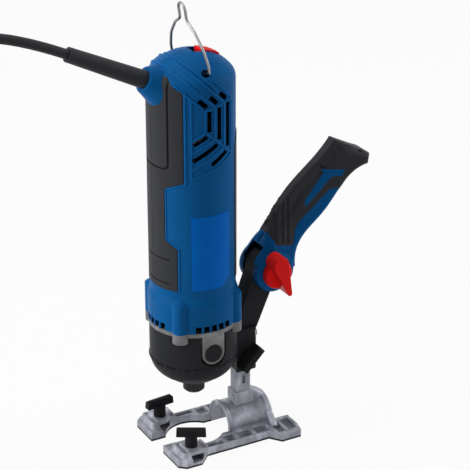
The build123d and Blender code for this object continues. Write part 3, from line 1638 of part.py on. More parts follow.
def bar_knob(plane, turn, stud):
    """Black bar knob on a round hub, standing on the plane, with a stud below it."""
    with BuildPart() as solid:
        with BuildSketch(plane.offset(hub_knob_length)):
            Rectangle(bar_length, wing_bar_t, rotation=turn)
        extrude(amount=wing_bar_height, taper=3)
        chamfer(solid.faces().sort_by(Axis(plane.origin, plane.z_dir))[-1].edges(), 1)
        with BuildSketch(plane):
            Circle(hub_knob_r)
        extrude(amount=hub_knob_length + 1)
        with BuildSketch(plane):
            Circle(stud_r)
        extrude(amount=-stud)
    return solid.part


wing_stud = tip_top_z + joint_gap - bar_slot_top_z
near_wing_plane = Plane(origin=(screw_x, -screw_y, tip_top_z + joint_gap))
far_wing_plane = Plane(origin=(screw_x, screw_y, tip_top_z + joint_gap))
with BuildPart() as wing_screw_right:
    add(bar_knob(near_wing_plane, near_bar_turn, wing_stud))
wing_screw_right.part.label = "wing_screw_right"
export_step(wing_screw_right.part, "parts/wing_screw_right.step")

with BuildPart() as wing_screw_left:
    add(bar_knob(far_wing_plane, far_bar_turn, wing_stud))
wing_screw_left.part.label = "wing_screw_left"
export_step(wing_screw_left.part, "parts/wing_screw_left.step")

clamp_face = bracket_half + joint_gap
clamp_hub = 2.6
clamp_root_y = hub_knob_length - clamp_face - clamp_hub
clamp_plane = Plane(origin=(post_x, clamp_root_y, clamp_z), x_dir=(1, 0, 0), z_dir=(0, -1, 0))
with BuildPart() as depth_knob:
    with BuildSketch(clamp_plane.offset(hub_knob_length)):
        Rectangle(bar_length, bar_t, rotation=clamp_bar_turn)
    extrude(amount=bar_height, taper=3)
    chamfer(depth_knob.faces().sort_by(Axis.Y)[0].edges(), 1)
    with BuildSketch(Plane.XZ.offset(clamp_face)):
        with Locations((post_x, clamp_z)):
            Circle(hub_knob_r)
    extrude(amount=clamp_hub + 1)
    with BuildSketch(Plane.XZ.offset(clamp_face)):
        with Locations((post_x, clamp_z)):
            Circle(stud_r)
    extrude(amount=-clamp_face + post_t / 2 + joint_gap)
depth_knob.part.label = "depth_knob"
export_step(depth_knob.part, "parts/depth_knob.step")

# Supply cord: up out of the boot, away to the left, down to the floor and into a tied coil
cord_r = cord_d / 2
tie_t = 0.9
coil_floor_z = sole_z + tie_t + 0.1 + cord_r
coil_x = -210.0
coil_y = 15.0
coil_r = 50.0
coil_pitch = cord_d + 0.8
coil_in_turns = 2.5
coil_out_turns = 2.25
coil_lead = cord_d
plug_length = 33.0
plug_width = 35.0
plug_t = 13.7
plug_neck = 14.0
pin_r = 2.0
pin_length = 19.0
pin_spacing = 18.6
coil_lift = cord_r + plug_t / 2 + 0.5
coil_draw_in = 12.0
climb_start = 360 * coil_in_turns
climb_end = climb_start + 180
coil_end_turn = climb_end + 360 * coil_out_turns
lift_start = coil_end_turn - 150
lift_end = coil_end_turn - 60
draw_start = coil_end_turn - 90


def eased(value, start, end):
    """0 before start, 1 after end, and smooth between."""
    share = min(max((value - start) / (end - start), 0), 1)
    return share * share * (3 - 2 * share)


def coil_point(turned):
    """Middle of the cord after so many degrees of coil: in along the floor, up, and out on top."""
    inner_r = coil_r - coil_pitch * coil_in_turns
    if turned < climb_start:
        radius = coil_r - coil_pitch * turned / 360
    elif turned < climb_end:
        climbed = turned - climb_start
        radius = inner_r - coil_pitch / 360 * (climbed - climbed * climbed / 180)
    else:
        radius = inner_r + coil_pitch * (turned - climb_end) / 360
    radius -= coil_draw_in * eased(turned, draw_start, coil_end_turn + 0.1)
    height = coil_floor_z + coil_pitch * eased(turned, climb_start, climb_end)
    height += coil_lift * eased(turned, lift_start, lift_end)
    bearing = math.radians(90 + turned)
    return Vector(coil_x + radius * math.cos(bearing), coil_y + radius * math.sin(bearing), height)


def coil_heading(turned):
    """Direction the cord runs in at that place."""
    return (coil_point(turned + 0.05) - coil_point(turned - 0.05)).normalized()


def biarc(start, heading, end, end_heading):
    """Two arcs that leave start along heading and reach end along end_heading."""
    across = end - start
    both = heading + end_heading
    bend = 2 * (1 - heading.dot(end_heading))
    along = across.dot(both)
    reach = (-along + math.sqrt(along * along + bend * across.dot(across))) / bend
    first = start + heading * reach
    second = end - end_heading * reach
    middle = (first + second) * 0.5
    TangentArc(start, middle, tangent=heading)
    TangentArc(middle, end, tangent=(second - first).normalized())


coil_step = 45.0
coil_stations = [coil_step * step for step in range(int(coil_end_turn / coil_step) + 1)]
coil_first = coil_point(0)
coil_last = coil_point(coil_stations[-1])
coil_in_heading = Vector(-1, 0, 0)
coil_out_heading = coil_heading(coil_stations[-1])
coil_out_heading = Vector(coil_out_heading.X, coil_out_heading.Y, 0).normalized()
coil_mouth = coil_first - coil_in_heading * coil_lead
plug_root = coil_last + coil_out_heading * coil_lead
with BuildPart() as cord_coil:
    with BuildLine() as coil_path:
        Line(coil_mouth, coil_first)
        heading = coil_in_heading
        for station, following in zip(coil_stations, coil_stations[1:]):
            next_heading = coil_out_heading if following == coil_stations[-1] else coil_heading(following)
            biarc(coil_point(station), heading, coil_point(following), next_heading)
            heading = next_heading
        Line(coil_last, plug_root)
    with BuildSketch(Plane(origin=coil_mouth, z_dir=coil_in_heading)):
        Circle(cord_r)
    sweep(path=coil_path.line)
cord_coil.part.label = "cord_coil"
export_step(cord_coil.part, "parts/cord_coil.step")

coil_samples = [coil_point(3 * place) for place in range(int(coil_end_turn / 3) + 1)]
coil_self_gap = min(
    (coil_samples[a] - coil_samples[b]).length
    for a in range(len(coil_samples))
    for b in range(a + 40, len(coil_samples))
)
coil_section = math.pi * cord_r**2
print("coil solids", len(cord_coil.part.solids()), "least gap", round(coil_self_gap - cord_d, 2))
coil_length = sum(edge.length for edge in coil_path.edges())
print("coil volume over section x length", round(cord_coil.part.volume / (coil_section * coil_length), 4))

tie_width = 8.0
tie_slack = 0.3
tie_inner_x = coil_x + coil_r - coil_pitch * (coil_in_turns + 0.125) - cord_r - 2 * tie_slack
tie_outer_x = coil_x + coil_r - coil_pitch * 0.75 + cord_r + tie_slack
tie_bottom_z = sole_z + tie_t
tie_top_z = coil_floor_z + coil_pitch + cord_r + tie_slack
with BuildPart() as cord_tie:
    with BuildSketch(Plane.XZ.offset(-coil_y)):
        with Locations(((tie_inner_x + tie_outer_x) / 2, (tie_bottom_z + tie_top_z) / 2)):
            RectangleRounded(tie_outer_x - tie_inner_x + 2 * tie_t, tie_top_z - tie_bottom_z + 2 * tie_t, 2.9)
            RectangleRounded(tie_outer_x - tie_inner_x, tie_top_z - tie_bottom_z, 2, mode=Mode.SUBTRACT)
    extrude(amount=tie_width / 2, both=True)
cord_tie.part.label = "cord_tie"
export_step(cord_tie.part, "parts/cord_tie.step")


def stepped(start, length, rise, bearing):
    """Point a length away from start, in the direction given by its rise and its bearing in degrees."""
    climb = math.radians(rise)
    heading = math.radians(bearing)
    level = length * math.cos(climb)
    return start + Vector(level * math.cos(heading), level * math.sin(heading), length * math.sin(climb))


boot_tip = gland_plane(boot_length).origin
route_top = [boot_tip]
falling_runs = [
    (42, gland_tilt, 180),
    (40, -3, 150),
    (42, -40, 118),
    (44, -75, 60),
    (46, -80, 20),
    (48, -82, 10),
]
for run in falling_runs:
    route_top.append(stepped(route_top[-1], *run))
route_foot = [coil_mouth]
rising_runs = [(25, 0, 0), (26, 30, 0), (26, 60, 0), (40, 87, -30)]
for run in rising_runs:
    route_foot.append(stepped(route_foot[-1], *run))
cord_route = route_top + [(route_top[-1] + route_foot[-1]) * 0.5] + route_foot[::-1]
cord_route[len(route_top)] += Vector(1.5, 1.5, 0)
cord_runs = [(b - a) for a, b in zip(cord_route, cord_route[1:])]
cord_radii = []
for before, after in zip(cord_runs, cord_runs[1:]):
    half_turn = math.radians(before.get_angle(after)) / 2
    cord_radii.append(0.45 * min(before.length, after.length) / math.tan(half_turn))
with BuildPart() as supply_cord:
    with BuildLine() as cord_path:
        FilletPolyline(*cord_route, radius=cord_radii)
    with BuildSketch(Plane(origin=boot_tip, z_dir=cord_runs[0])):
        Circle(cord_r)
    sweep(path=cord_path.line)
supply_cord.part.label = "supply_cord"
export_step(supply_cord.part, "parts/supply_cord.step")
cord_length = sum(edge.length for edge in cord_path.edges())
print("cord runs", [round(run.length) for run in cord_runs])
print("cord radii", [round(radius) for radius in cord_radii])
print("cord volume over section x length", round(supply_cord.part.volume / (coil_section * cord_length), 4))
print("cord length", round(cord_length + coil_length))

# Flat two-pin plug, lying on the coil
plug_plane = Plane(origin=plug_root, x_dir=Vector(0, 0, 1).cross(coil_out_heading), z_dir=coil_out_heading)
with BuildPart() as plug_body:
    with BuildSketch(plug_plane):
        RectangleRounded(plug_neck, plug_t - 3, 4)
    with BuildSketch(plug_plane.offset(plug_length / 3)):
        RectangleRounded(plug_width, plug_t, 4)
    loft()
    with BuildSketch(plug_plane.offset(plug_length / 3)):
        RectangleRounded(plug_width, plug_t, 4)
    extrude(amount=plug_length * 2 / 3)
plug_body.part.label = "plug_body"
export_step(plug_body.part, "parts/plug_body.step")

with BuildPart() as plug_pins:
    with BuildSketch(plug_plane.offset(plug_length)):
        with Locations((-pin_spacing / 2, 0), (pin_spacing / 2, 0)):
            Circle(pin_r)
    extrude(amount=pin_length)
    chamfer(plug_pins.faces().sort_by(Axis(plug_root, coil_out_heading))[-2:].edges(), 0.6)
plug_pins.part.label = "plug_pins"
export_step(plug_pins.part, "parts/plug_pins.step")
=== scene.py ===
"""Finishes, supply cord, small detail and studio for a hand-held rotary cutter."""

import math

import bpy
from mathutils import Matrix, Vector


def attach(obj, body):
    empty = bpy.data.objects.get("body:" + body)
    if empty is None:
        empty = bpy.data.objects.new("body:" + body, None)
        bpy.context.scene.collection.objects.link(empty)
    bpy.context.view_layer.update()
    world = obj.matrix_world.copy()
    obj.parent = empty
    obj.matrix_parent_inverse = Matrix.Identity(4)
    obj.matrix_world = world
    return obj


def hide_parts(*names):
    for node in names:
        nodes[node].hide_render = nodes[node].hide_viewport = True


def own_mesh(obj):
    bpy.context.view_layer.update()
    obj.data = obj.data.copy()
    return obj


bl_info = {
    "name": "Rotary cutter",
    "version": (1, 0, 0),
    "blender": (4, 5, 0),
    "location": "3D View > Sidebar > Cutter",
    "description": "Finishes, supply cord, small detail and studio for a hand-held rotary cutter",
    "category": "Object",
}

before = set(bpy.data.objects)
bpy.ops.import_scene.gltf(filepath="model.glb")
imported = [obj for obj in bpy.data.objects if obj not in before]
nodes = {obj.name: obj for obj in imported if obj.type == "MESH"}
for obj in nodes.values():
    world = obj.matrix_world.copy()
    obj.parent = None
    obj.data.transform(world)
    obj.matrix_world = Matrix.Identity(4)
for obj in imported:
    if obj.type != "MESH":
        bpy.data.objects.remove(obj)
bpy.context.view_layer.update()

FLOOR_Z = -0.0415
FLOOR_GAP = 0.0001
FLOOR_WIDTH = 9.0
FLOOR_CLEAR = 0.93


def tone(red, green, blue):
    """Linear colour from three display levels between 0 and 255."""
    levels = []
    for level in (red, green, blue):
        share = level / 255
        levels.append(share / 12.92 if share <= 0.04045 else ((share + 0.055) / 1.055) ** 2.4)
    return tuple(levels)


def shaded(colour, share):
    """The colour made darker below 1 and lighter above it."""
    return tuple(min(channel * share, 1.0) for channel in colour)


def colour_property(name, description, default):
    """A colour that a user may change."""
    return bpy.props.FloatVectorProperty(
        name=name, description=description, subtype="COLOR", size=3, min=0.0, max=1.0, default=default
    )


def power_property(name, description, default):
    """A lamp's power that a user may change."""
    return bpy.props.FloatProperty(
        name=name, description=description, subtype="POWER", unit="POWER", min=0.0, default=default
    )


def length_property(name, description, default):
    """A length that a user may change."""
    return bpy.props.FloatProperty(
        name=name, description=description, subtype="DISTANCE", unit="LENGTH", min=0.0, default=default
    )


class CutterColours(bpy.types.PropertyGroup):
    """Colours of the finishes."""

    shell: colour_property("Shell", "Moulded housing halves and handle", tone(15, 92, 153))
    label: colour_property("Label", "Bare plate on the right flank", tone(4, 106, 202))
    grip: colour_property("Grip", "Soft grips of the housing and the handle", tone(51, 52, 56))
    black: colour_property("Black plastic", "Nose guard, bracket, knobs and lock button", tone(45, 46, 49))
    red: colour_property("Red plastic", "Switch slider and wing knob", tone(252, 36, 34))
    cast: colour_property("Cast alloy", "Depth foot", tone(152, 154, 164))
    shield: colour_property("Shield alloy", "End shield between housing and nose", tone(116, 115, 117))
    steel: colour_property("Steel", "Bail, spindle, collet and screws", tone(190, 190, 192))
    cord: colour_property("Cord", "Jacket of the supply cord and its boot", tone(50, 51, 55))


class CutterCord(bpy.types.PropertyGroup):
    """The supply cord."""

    diameter: length_property("Diameter", "Width of the round jacket", 0.007)
    length: length_property("Length", "From the boot's tip to the plug", 1.75)


class CutterStage(bpy.types.PropertyGroup):
    """Camera and studio."""

    azimuth: bpy.props.FloatProperty(
        name="Azimuth",
        description="Turn of the camera about the spindle axis",
        subtype="ANGLE",
        default=math.radians(-29.0),
    )
    elevation: bpy.props.FloatProperty(
        name="Elevation",
        description="Rise of the camera above the level",
        subtype="ANGLE",
        default=math.radians(24.52),
    )
    distance: length_property("Distance", "From the camera to the middle of the picture", 1.3536)
    aside: length_property("Aside", "How far the middle of the picture is to the right of the axis", 0.0304)
    height: length_property("Height", "Middle of the picture above the collet's mouth", 0.1246)
    lens: bpy.props.FloatProperty(
        name="Lens", description="Focal length in millimetres", subtype="DISTANCE_CAMERA", default=145.53
    )
    backdrop: colour_property("Backdrop", "Floor and surroundings", (1.0, 1.0, 1.0))
    key: power_property("Key", "Left softbox in watts", 20.0)
    top: power_property("Top", "Upper softbox in watts", 10.0)
    rim: power_property("Rim", "Right softbox in watts", 8.0)
    ambient: bpy.props.FloatProperty(
        name="Ambient", description="Even light of the room", min=0.0, default=0.11
    )


class Wire:
    """A shader socket whose arithmetic adds Math nodes to its finish."""

    def __init__(self, finish, socket):
        self.finish = finish
        self.socket = socket

    def count(self, operation, first, second):
        return self.finish.node("ShaderNodeMath", {"operation": operation}, {0: first, 1: second})

    def __add__(self, other):
        return self.count("ADD", self, other)

    __radd__ = __add__

    def __sub__(self, other):
        return self.count("SUBTRACT", self, other)

    def __rsub__(self, other):
        return self.count("SUBTRACT", other, self)

    def __mul__(self, other):
        return self.count("MULTIPLY", self, other)

    __rmul__ = __mul__

    def __pow__(self, other):
        return self.count("POWER", self, other)

    def __lt__(self, other):
        return self.count("LESS_THAN", self, other)

    def __gt__(self, other):
        return self.count("GREATER_THAN", self, other)

    def __abs__(self):
        return self.count("ABSOLUTE", self, 0.0)


def pick(sockets, key):
    """A socket by its number, or the first one in use by its name."""
    if isinstance(key, int):
        return sockets[key]
    return next(socket for socket in sockets if socket.name == key and socket.enabled)


class Tree:
    """A shader's nodes."""

    def __init__(self, tree):
        self.tree = tree

    def node(self, kind, settings, sockets, output=0):
        """A new node with its settings, then its sockets' values or links, as a wire from one output."""
        made = self.tree.nodes.new(kind)
        for name, value in settings.items():
            setattr(made, name, value)
        for name, value in sockets.items():
            self.feed(pick(made.inputs, name), value)
        return Wire(self, pick(made.outputs, output))

    def feed(self, socket, value):
        """Links a wire to the socket, or sets the socket's own value."""
        if isinstance(value, Wire):
            self.tree.links.new(value.socket, socket)
        elif socket.type == "RGBA":
            socket.default_value = (*value[:3], 1.0)
        else:
            socket.default_value = value


class Finish(Tree):
    """One material, worked out from the piece's own coordinates in metres."""

    def __init__(self, name):
        self.material = bpy.data.materials.new(name)
        self.material.use_nodes = True
        super().__init__(self.material.node_tree)
        self.shader = self.tree.nodes["Principled BSDF"]
        self.place = self.node("ShaderNodeTexCoord", {}, {}, "Object")

    def axes(self):
        """The three coordinates as separate wires."""
        split = self.tree.nodes.new("ShaderNodeSeparateXYZ")
        self.feed(split.inputs[0], self.place)
        return [Wire(self, output) for output in split.outputs]

    def radius(self):
        """Distance from the spindle axis."""
        across, deep, _ = self.axes()
        return (across * across + deep * deep) ** 0.5

    def stretched(self, scale):
        """The coordinates made longer or shorter along each axis."""
        return self.node("ShaderNodeMapping", {}, {"Vector": self.place, "Scale": scale})

    def noise(self, scale, detail=2.0, place=None):
        """Soft noise between 0 and 1, with so many lumps in a metre."""
        return self.node(
            "ShaderNodeTexNoise",
            {"normalize": True},
            {"Vector": place or self.place, "Scale": scale, "Detail": detail},
            "Fac",
        )

    def cells(self, scale):
        """Distance to the nearest of many scattered points."""
        return self.node("ShaderNodeTexVoronoi", {}, {"Vector": self.place, "Scale": scale}, "Distance")

    def band(self, value, low, high):
        """0 below low, 1 above high, and smooth between."""
        return self.node(
            "ShaderNodeMapRange",
            {"interpolation_type": "SMOOTHSTEP"},
            {"Value": value, "From Min": low, "From Max": high},
        )

    def eased_edge(self, radius):
        """Normal with every sharp edge rounded."""
        return self.node("ShaderNodeBevel", {"samples": 6}, {"Radius": radius}, "Normal")

    def edges(self, rounded):
        """1 along edges and 0 on open faces."""
        facing = self.node("ShaderNodeNewGeometry", {}, {}, "Normal")
        return self.band(1 - self.dot(rounded, facing), 0.004, 0.12)

    def dot(self, first, second):
        """How far two directions agree."""
        return self.node("ShaderNodeVectorMath", {"operation": "DOT_PRODUCT"}, {0: first, 1: second}, "Value")

    def mix(self, share, first, second):
        """Colour between two colours."""
        colours = {"Factor": share, "A": first, "B": second}
        return self.node("ShaderNodeMix", {"data_type": "RGBA"}, colours, "Result")

    def bump(self, height, depth, normal):
        """Normal with a relief of so many metres laid over it."""
        return self.node("ShaderNodeBump", {}, {"Height": height, "Distance": depth, "Normal": normal})

    def dress(self, **values):
        """Feeds the shader's sockets and gives the material."""
        for name, value in values.items():
            self.feed(self.shader.inputs[name.replace("_", " ").title().replace("Ior", "IOR")], value)
        return self.material


def moulded(name, colour, roughness=0.42, grain=1500.0, depth=0.00008, shade_mask=None):
    """Satin moulded plastic with a fine spark texture, paler edges that are partly wear and partly painted
    highlight, and faint handling marks; a shade mask adds a dark parting line and near-black painted shade.
    """
    finish = Finish(name)
    rounded = finish.eased_edge(0.0006)
    wear_and_highlight = finish.edges(rounded)
    clouds = finish.noise(45.0, 3.0)
    speckle = finish.noise(grain, 2.0)
    scuffs = finish.band(finish.noise(260.0, 4.0, finish.stretched((1.0, 1.0, 0.12))), 0.60, 0.74)
    base = finish.mix(clouds, shaded(colour, 0.90), shaded(colour, 1.10))
    # Edges made paler: partly wear, partly a painted highlight along them.
    base = finish.mix(wear_and_highlight * 0.45, base, shaded(colour, 1.55))
    base = finish.mix(scuffs * 0.10, base, shaded(colour, 1.4))
    rough = roughness + (speckle - 0.5) * 0.14 + scuffs * 0.10 - wear_and_highlight * 0.06
    relief = speckle
    if shade_mask:
        line = 1 - finish.band(abs(finish.axes()[1]), 0.00008, 0.00022)
        base = finish.mix(line * 0.75, base, shaded(colour, 0.25))
        relief = speckle - line * 4.0
        # Painted shade: near-black where the shade mask is 1.
        base = finish.mix(shade_mask(finish), base, shaded(colour, 0.06))
    return finish.dress(
        base_color=base, roughness=rough, normal=finish.bump(relief, depth, rounded), specular_ior_level=0.03
    )


def housing_shade(finish):
    """1 inside the housing, behind its vents and windows, where the shell is painted near-black as shade."""
    height = finish.axes()[2]
    skin = VENT_SKIN_R + (FLANGE_SKIN_R - VENT_SKIN_R) * (height < WINDOW_TOP_Z)
    return (finish.radius() < skin) * (height < VENT_TOP_Z)


def ear_shade(finish):
    """1 in the slot between the handle's ears, and under the grip's end, where the shell is painted
    near-black as shade.
    """
    across, beside, height = finish.axes()
    along = (across - PIVOT.x) * HANDLE_ALONG.x + (height - PIVOT.z) * HANDLE_ALONG.z
    slot = (along < SLOT_END + SLOT_MARGIN) * (abs(beside) < SLOT_HALF + SLOT_MARGIN)
    return slot + (along > BUTT_START)


def rubbery(name, colour, roughness=0.58, ornament=None):
    """Soft elastomer: matt, finely stippled and a little dusty, with paler edges that are partly wear and
    partly painted highlight, and grooves where an ornament cuts it.
    """
    finish = Finish(name)
    rounded = finish.eased_edge(0.0007)
    wear_and_highlight = finish.edges(rounded)
    dust = finish.noise(70.0, 5.0)
    stipple = finish.cells(1900.0)
    base = finish.mix(dust, shaded(colour, 0.86), shaded(colour, 1.14))
    # Edges made paler: partly wear, partly a painted highlight along them.
    base = finish.mix(wear_and_highlight * 0.35, base, shaded(colour, 1.6))
    rough = roughness + (stipple - 0.4) * 0.15 + (dust - 0.5) * 0.1
    relief = stipple
    if ornament:
        cut, dark = ornament(finish)
        # Darker where the ornament marks it: a dark joint along the parting line, painted shade in the
        # grooves.
        base = finish.mix(dark, base, shaded(colour, 0.16))
        relief = stipple - cut * 6.0
    return finish.dress(
        base_color=base,
        roughness=rough,
        normal=finish.bump(relief, 0.00010, rounded),
        specular_ior_level=0.12,
    )


def body_lines(finish):
    """Parting line, panel groove and two level lines of the housing's front grips."""
    across, beside, height = finish.axes()
    parting = 1 - finish.band(abs(beside), 0.00010, 0.00030)
    groove = 1 - finish.band(finish.radius(), PANEL_GROOVE_R, PANEL_SKIN_R)
    level = 0.0
    for place in GRIP_LINES_Z:
        level = level + (1 - finish.band(abs(height - place), 0.00015, 0.00045))
    level = level * (abs(beside) < GRIP_LINE_HALF) * (across < 0.0)
    # The second value is a dark joint along the parting line and painted shade in the panel groove and along
    # the level lines.
    return parting + level * 0.8, parting * 0.7 + groove * (height < VENT_TOP_Z) * 0.9 + level * 0.35


def cast_alloy(name, colour, roughness=0.5, metallic=0.45, pocket_z=None):
    """Die-cast alloy: grainy skin, pale flow patches, bright edges that are partly rubbed and partly painted
    highlight, and painted shade on the upward floors of its pockets.
    """
    finish = Finish(name)
    rounded = finish.eased_edge(0.0007)
    wear_and_highlight = finish.edges(rounded)
    flow = finish.noise(120.0, 6.0, finish.stretched((1.0, 1.0, 0.5)))
    pale = finish.band(flow, 0.54, 0.68)
    grain = finish.noise(900.0, 3.0)
    pits = finish.band(finish.cells(420.0), 0.05, 0.20)
    base = finish.mix(finish.band(flow, 0.25, 0.65), shaded(colour, 0.68), shaded(colour, 1.18))
    base = finish.mix(pale * 0.6, base, shaded(colour, 1.9))
    base = finish.mix((1 - pits) * 0.25, base, shaded(colour, 0.6))
    if pocket_z:
        # Painted shade: the upward-facing floors of the pockets are made darker.
        pocket_shade = 1 - finish.band(finish.axes()[2], pocket_z + 0.0004, pocket_z + 0.0026)
        facing = finish.node("ShaderNodeNewGeometry", {}, {}, "Normal")
        upward = finish.dot(facing, UPWARD) > 0.3
        base = finish.mix(pocket_shade * upward * 0.6, base, shaded(colour, 0.32))
    # Edges made brighter: partly rubbed, partly a painted highlight.
    base = finish.mix(wear_and_highlight * 0.7, base, shaded(colour, 1.6))
    rough = roughness + (grain - 0.5) * 0.25 - wear_and_highlight * 0.14
    relief = grain * 0.6 + pits * 0.5 + flow * 1.5
    return finish.dress(
        base_color=base, roughness=rough, metallic=metallic, normal=finish.bump(relief, 0.00014, rounded)
    )


def bright_metal(name, colour, roughness=0.24):
    """Drawn or turned metal with fine tool lines along one axis."""
    finish = Finish(name)
    rounded = finish.eased_edge(0.0003)
    wear_and_highlight = finish.edges(rounded)
    marks = finish.noise(2600.0, 2.0, finish.stretched((1.0, 1.0, 0.03)))
    tarnish = finish.noise(120.0, 4.0)
    base = finish.mix(tarnish, shaded(colour, 0.78), shaded(colour, 1.05))
    # Edges made paler: partly wear, partly a painted highlight.
    base = finish.mix(wear_and_highlight * 0.4, base, shaded(colour, 1.3))
    rough = roughness + (marks - 0.5) * 0.18 + (tarnish - 0.5) * 0.12
    return finish.dress(
        base_color=base, roughness=rough, metallic=1.0, normal=finish.bump(marks, 0.00003, rounded)
    )


def stacked_sheet(name, colour):
    """Edges of thin electrical sheets, one on another along the spindle."""
    finish = Finish(name)
    height = finish.axes()[2]
    sheet = finish.node("ShaderNodeMath", {"operation": "PINGPONG"}, {0: height * 2000.0, 1: 1.0})
    rust = finish.noise(160.0, 4.0)
    base = finish.mix(sheet, shaded(colour, 0.7), shaded(colour, 1.1))
    base = finish.mix(rust * 0.3, base, tone(92, 70, 54))
    rounded = finish.eased_edge(0.0003)
    return finish.dress(
        base_color=base, roughness=0.4 + rust * 0.2, metallic=0.9, normal=finish.bump(sheet, 0.00012, rounded)
    )


def wound_wire(name, colour):
    """Enamelled wire laid side by side."""
    finish = Finish(name)
    across, _, height = finish.axes()
    turns = (across + height) * 1600.0
    strand = finish.node("ShaderNodeMath", {"operation": "PINGPONG"}, {0: turns, 1: 1.0})
    resin = finish.noise(240.0, 3.0)
    base = finish.mix(strand, shaded(colour, 0.55), colour)
    base = finish.mix(resin * 0.25, base, shaded(colour, 0.4))
    rounded = finish.eased_edge(0.0004)
    return finish.dress(
        base_color=base,
        roughness=0.25 + resin * 0.2,
        metallic=0.85,
        normal=finish.bump(strand, 0.0003, rounded),
    )


def carbon_block(name, colour):
    """Pressed carbon: dull, with metallic flecks."""
    finish = Finish(name)
    flecks = finish.band(finish.noise(1800.0, 2.0), 0.62, 0.72)
    base = finish.mix(flecks * 0.5, colour, shaded(colour, 3.0))
    rounded = finish.eased_edge(0.0003)
    return finish.dress(
        base_color=base, roughness=0.6 - flecks * 0.2, normal=finish.bump(flecks, 0.00005, rounded)
    )


UPWARD = (0.0, 0.0, 1.0)
VENT_SKIN_R = 0.0306
FLANGE_SKIN_R = 0.0318
WINDOW_TOP_Z = 0.0675
VENT_TOP_Z = 0.2465
GRIP_LINES_Z = (0.1175, 0.0990)
GRIP_LINE_HALF = 0.0170
PANEL_GROOVE_R = 0.0309
PANEL_SKIN_R = 0.0313
PIVOT = Vector((0.0610, 0.0, 0.0867))
HANDLE_LEAN = math.radians(43.4)
HANDLE_ALONG = Vector((math.sin(HANDLE_LEAN), 0.0, math.cos(HANDLE_LEAN)))
HANDLE_ACROSS = Vector((-math.cos(HANDLE_LEAN), 0.0, math.sin(HANDLE_LEAN)))
SLOT_END = 0.0090
SLOT_HALF = 0.0073
SLOT_MARGIN = 0.0002
SLOT_BACK = -0.0300
SLOT_DEPTH = 0.0400
BUTT_START = 0.0960
EDGE_ANGLE = math.radians(40.0)
SMOOTH_ANGLE = math.radians(35.0)
WELD = 0.000005
SPUN_WELD = 0.00001


def paint(material, *names):
    """Puts the material in every slot of these CAD nodes."""
    for name in names:
        slots = nodes[name].data.materials
        slots.clear()
        slots.append(material)


def add_block(low, high):
    """A box between two corners, in edit mode with everything selected."""
    bpy.ops.object.select_all(action="DESELECT")
    bpy.ops.mesh.primitive_cube_add(size=1.0)
    bpy.ops.object.mode_set(mode="EDIT")
    bpy.ops.mesh.select_all(action="SELECT")
    bpy.ops.transform.resize(value=Vector(high) - Vector(low))
    bpy.ops.transform.translate(value=(Vector(low) + Vector(high)) / 2)
    return bpy.context.object


def select_faces(piece, test):
    """Selects in edit mode the faces whose middle and normal pass the test."""
    bpy.ops.mesh.select_mode(type="FACE")
    bpy.ops.mesh.select_all(action="DESELECT")
    bpy.ops.object.mode_set(mode="OBJECT")
    for face in piece.data.polygons:
        face.select = test(face.center, face.normal)
    bpy.ops.object.mode_set(mode="EDIT")


def select_corners(piece, test):
    """Selects in edit mode the points that pass the test."""
    bpy.ops.mesh.select_mode(type="VERT")
    bpy.ops.mesh.select_all(action="DESELECT")
    bpy.ops.object.mode_set(mode="OBJECT")
    for point in piece.data.vertices:
        point.select = test(point.co)
    bpy.ops.object.mode_set(mode="EDIT")


def drafted_block(low, high, draft):
    """A box whose floor is smaller than its top all round, as a cast pocket's is."""
    block = add_block(low, high)
    select_faces(block, lambda middle, normal: normal.z < -0.9)
    size = Vector(high) - Vector(low)
    middle = (Vector(high) + Vector(low)) / 2
    shrink = (1 - 2 * draft / size.x, 1 - 2 * draft / size.y, 1.0)
    bpy.ops.transform.resize(value=shrink, center_override=middle)
    bpy.ops.object.mode_set(mode="OBJECT")
    return block


def node_copy(name, node):
    """A copy of a CAD node's mesh, with its loose triangles merged."""
    copy = nodes[node].copy()
    copy.data = nodes[node].data.copy()
    copy.name = name
    copy.data.name = name
    copy.parent = None
    for key in list(copy.keys()):
        del copy[key]
    bpy.context.scene.collection.objects.link(copy)
    bpy.ops.object.select_all(action="DESELECT")
    copy.select_set(True)
    bpy.context.view_layer.objects.active = copy
    bpy.ops.object.mode_set(mode="EDIT")
    bpy.ops.mesh.select_all(action="SELECT")
    bpy.ops.mesh.remove_doubles(threshold=WELD)
    bpy.ops.object.mode_set(mode="OBJECT")
    copy.data.materials.clear()
    return copy


def combine(piece, tool, operation):
    """Cuts the tool out of the piece, or welds it on, and removes it."""
    apply_modifier(piece, "BOOLEAN", operation=operation, object=tool, solver="EXACT")
    bpy.ops.object.select_all(action="DESELECT")
    tool.select_set(True)
    bpy.ops.object.delete()


def spun_rim(width, height, place, tip, centre, axis, sweep, steps):
    """A flat section, tipped about X and put in its place, then swept round an axis."""
    bpy.ops.object.select_all(action="DESELECT")
    bpy.ops.mesh.primitive_plane_add(size=1.0)
    rim = bpy.context.object
    bpy.ops.object.mode_set(mode="EDIT")
    bpy.ops.mesh.select_all(action="SELECT")
    bpy.ops.transform.resize(value=(width, height, 1.0))
    bpy.ops.object.mode_set(mode="OBJECT")
    rim.rotation_euler.x = tip
    rim.location = place
    bpy.ops.object.transform_apply(location=True, rotation=True, scale=True)
    bpy.ops.object.mode_set(mode="EDIT")
    bpy.ops.mesh.select_all(action="SELECT")
    bpy.ops.mesh.spin(steps=steps, angle=sweep, center=centre, axis=axis)
    bpy.ops.mesh.select_all(action="SELECT")
    bpy.ops.mesh.remove_doubles(threshold=SPUN_WELD)
    bpy.ops.mesh.normals_make_consistent(inside=False)
    bpy.ops.object.mode_set(mode="OBJECT")
    return rim


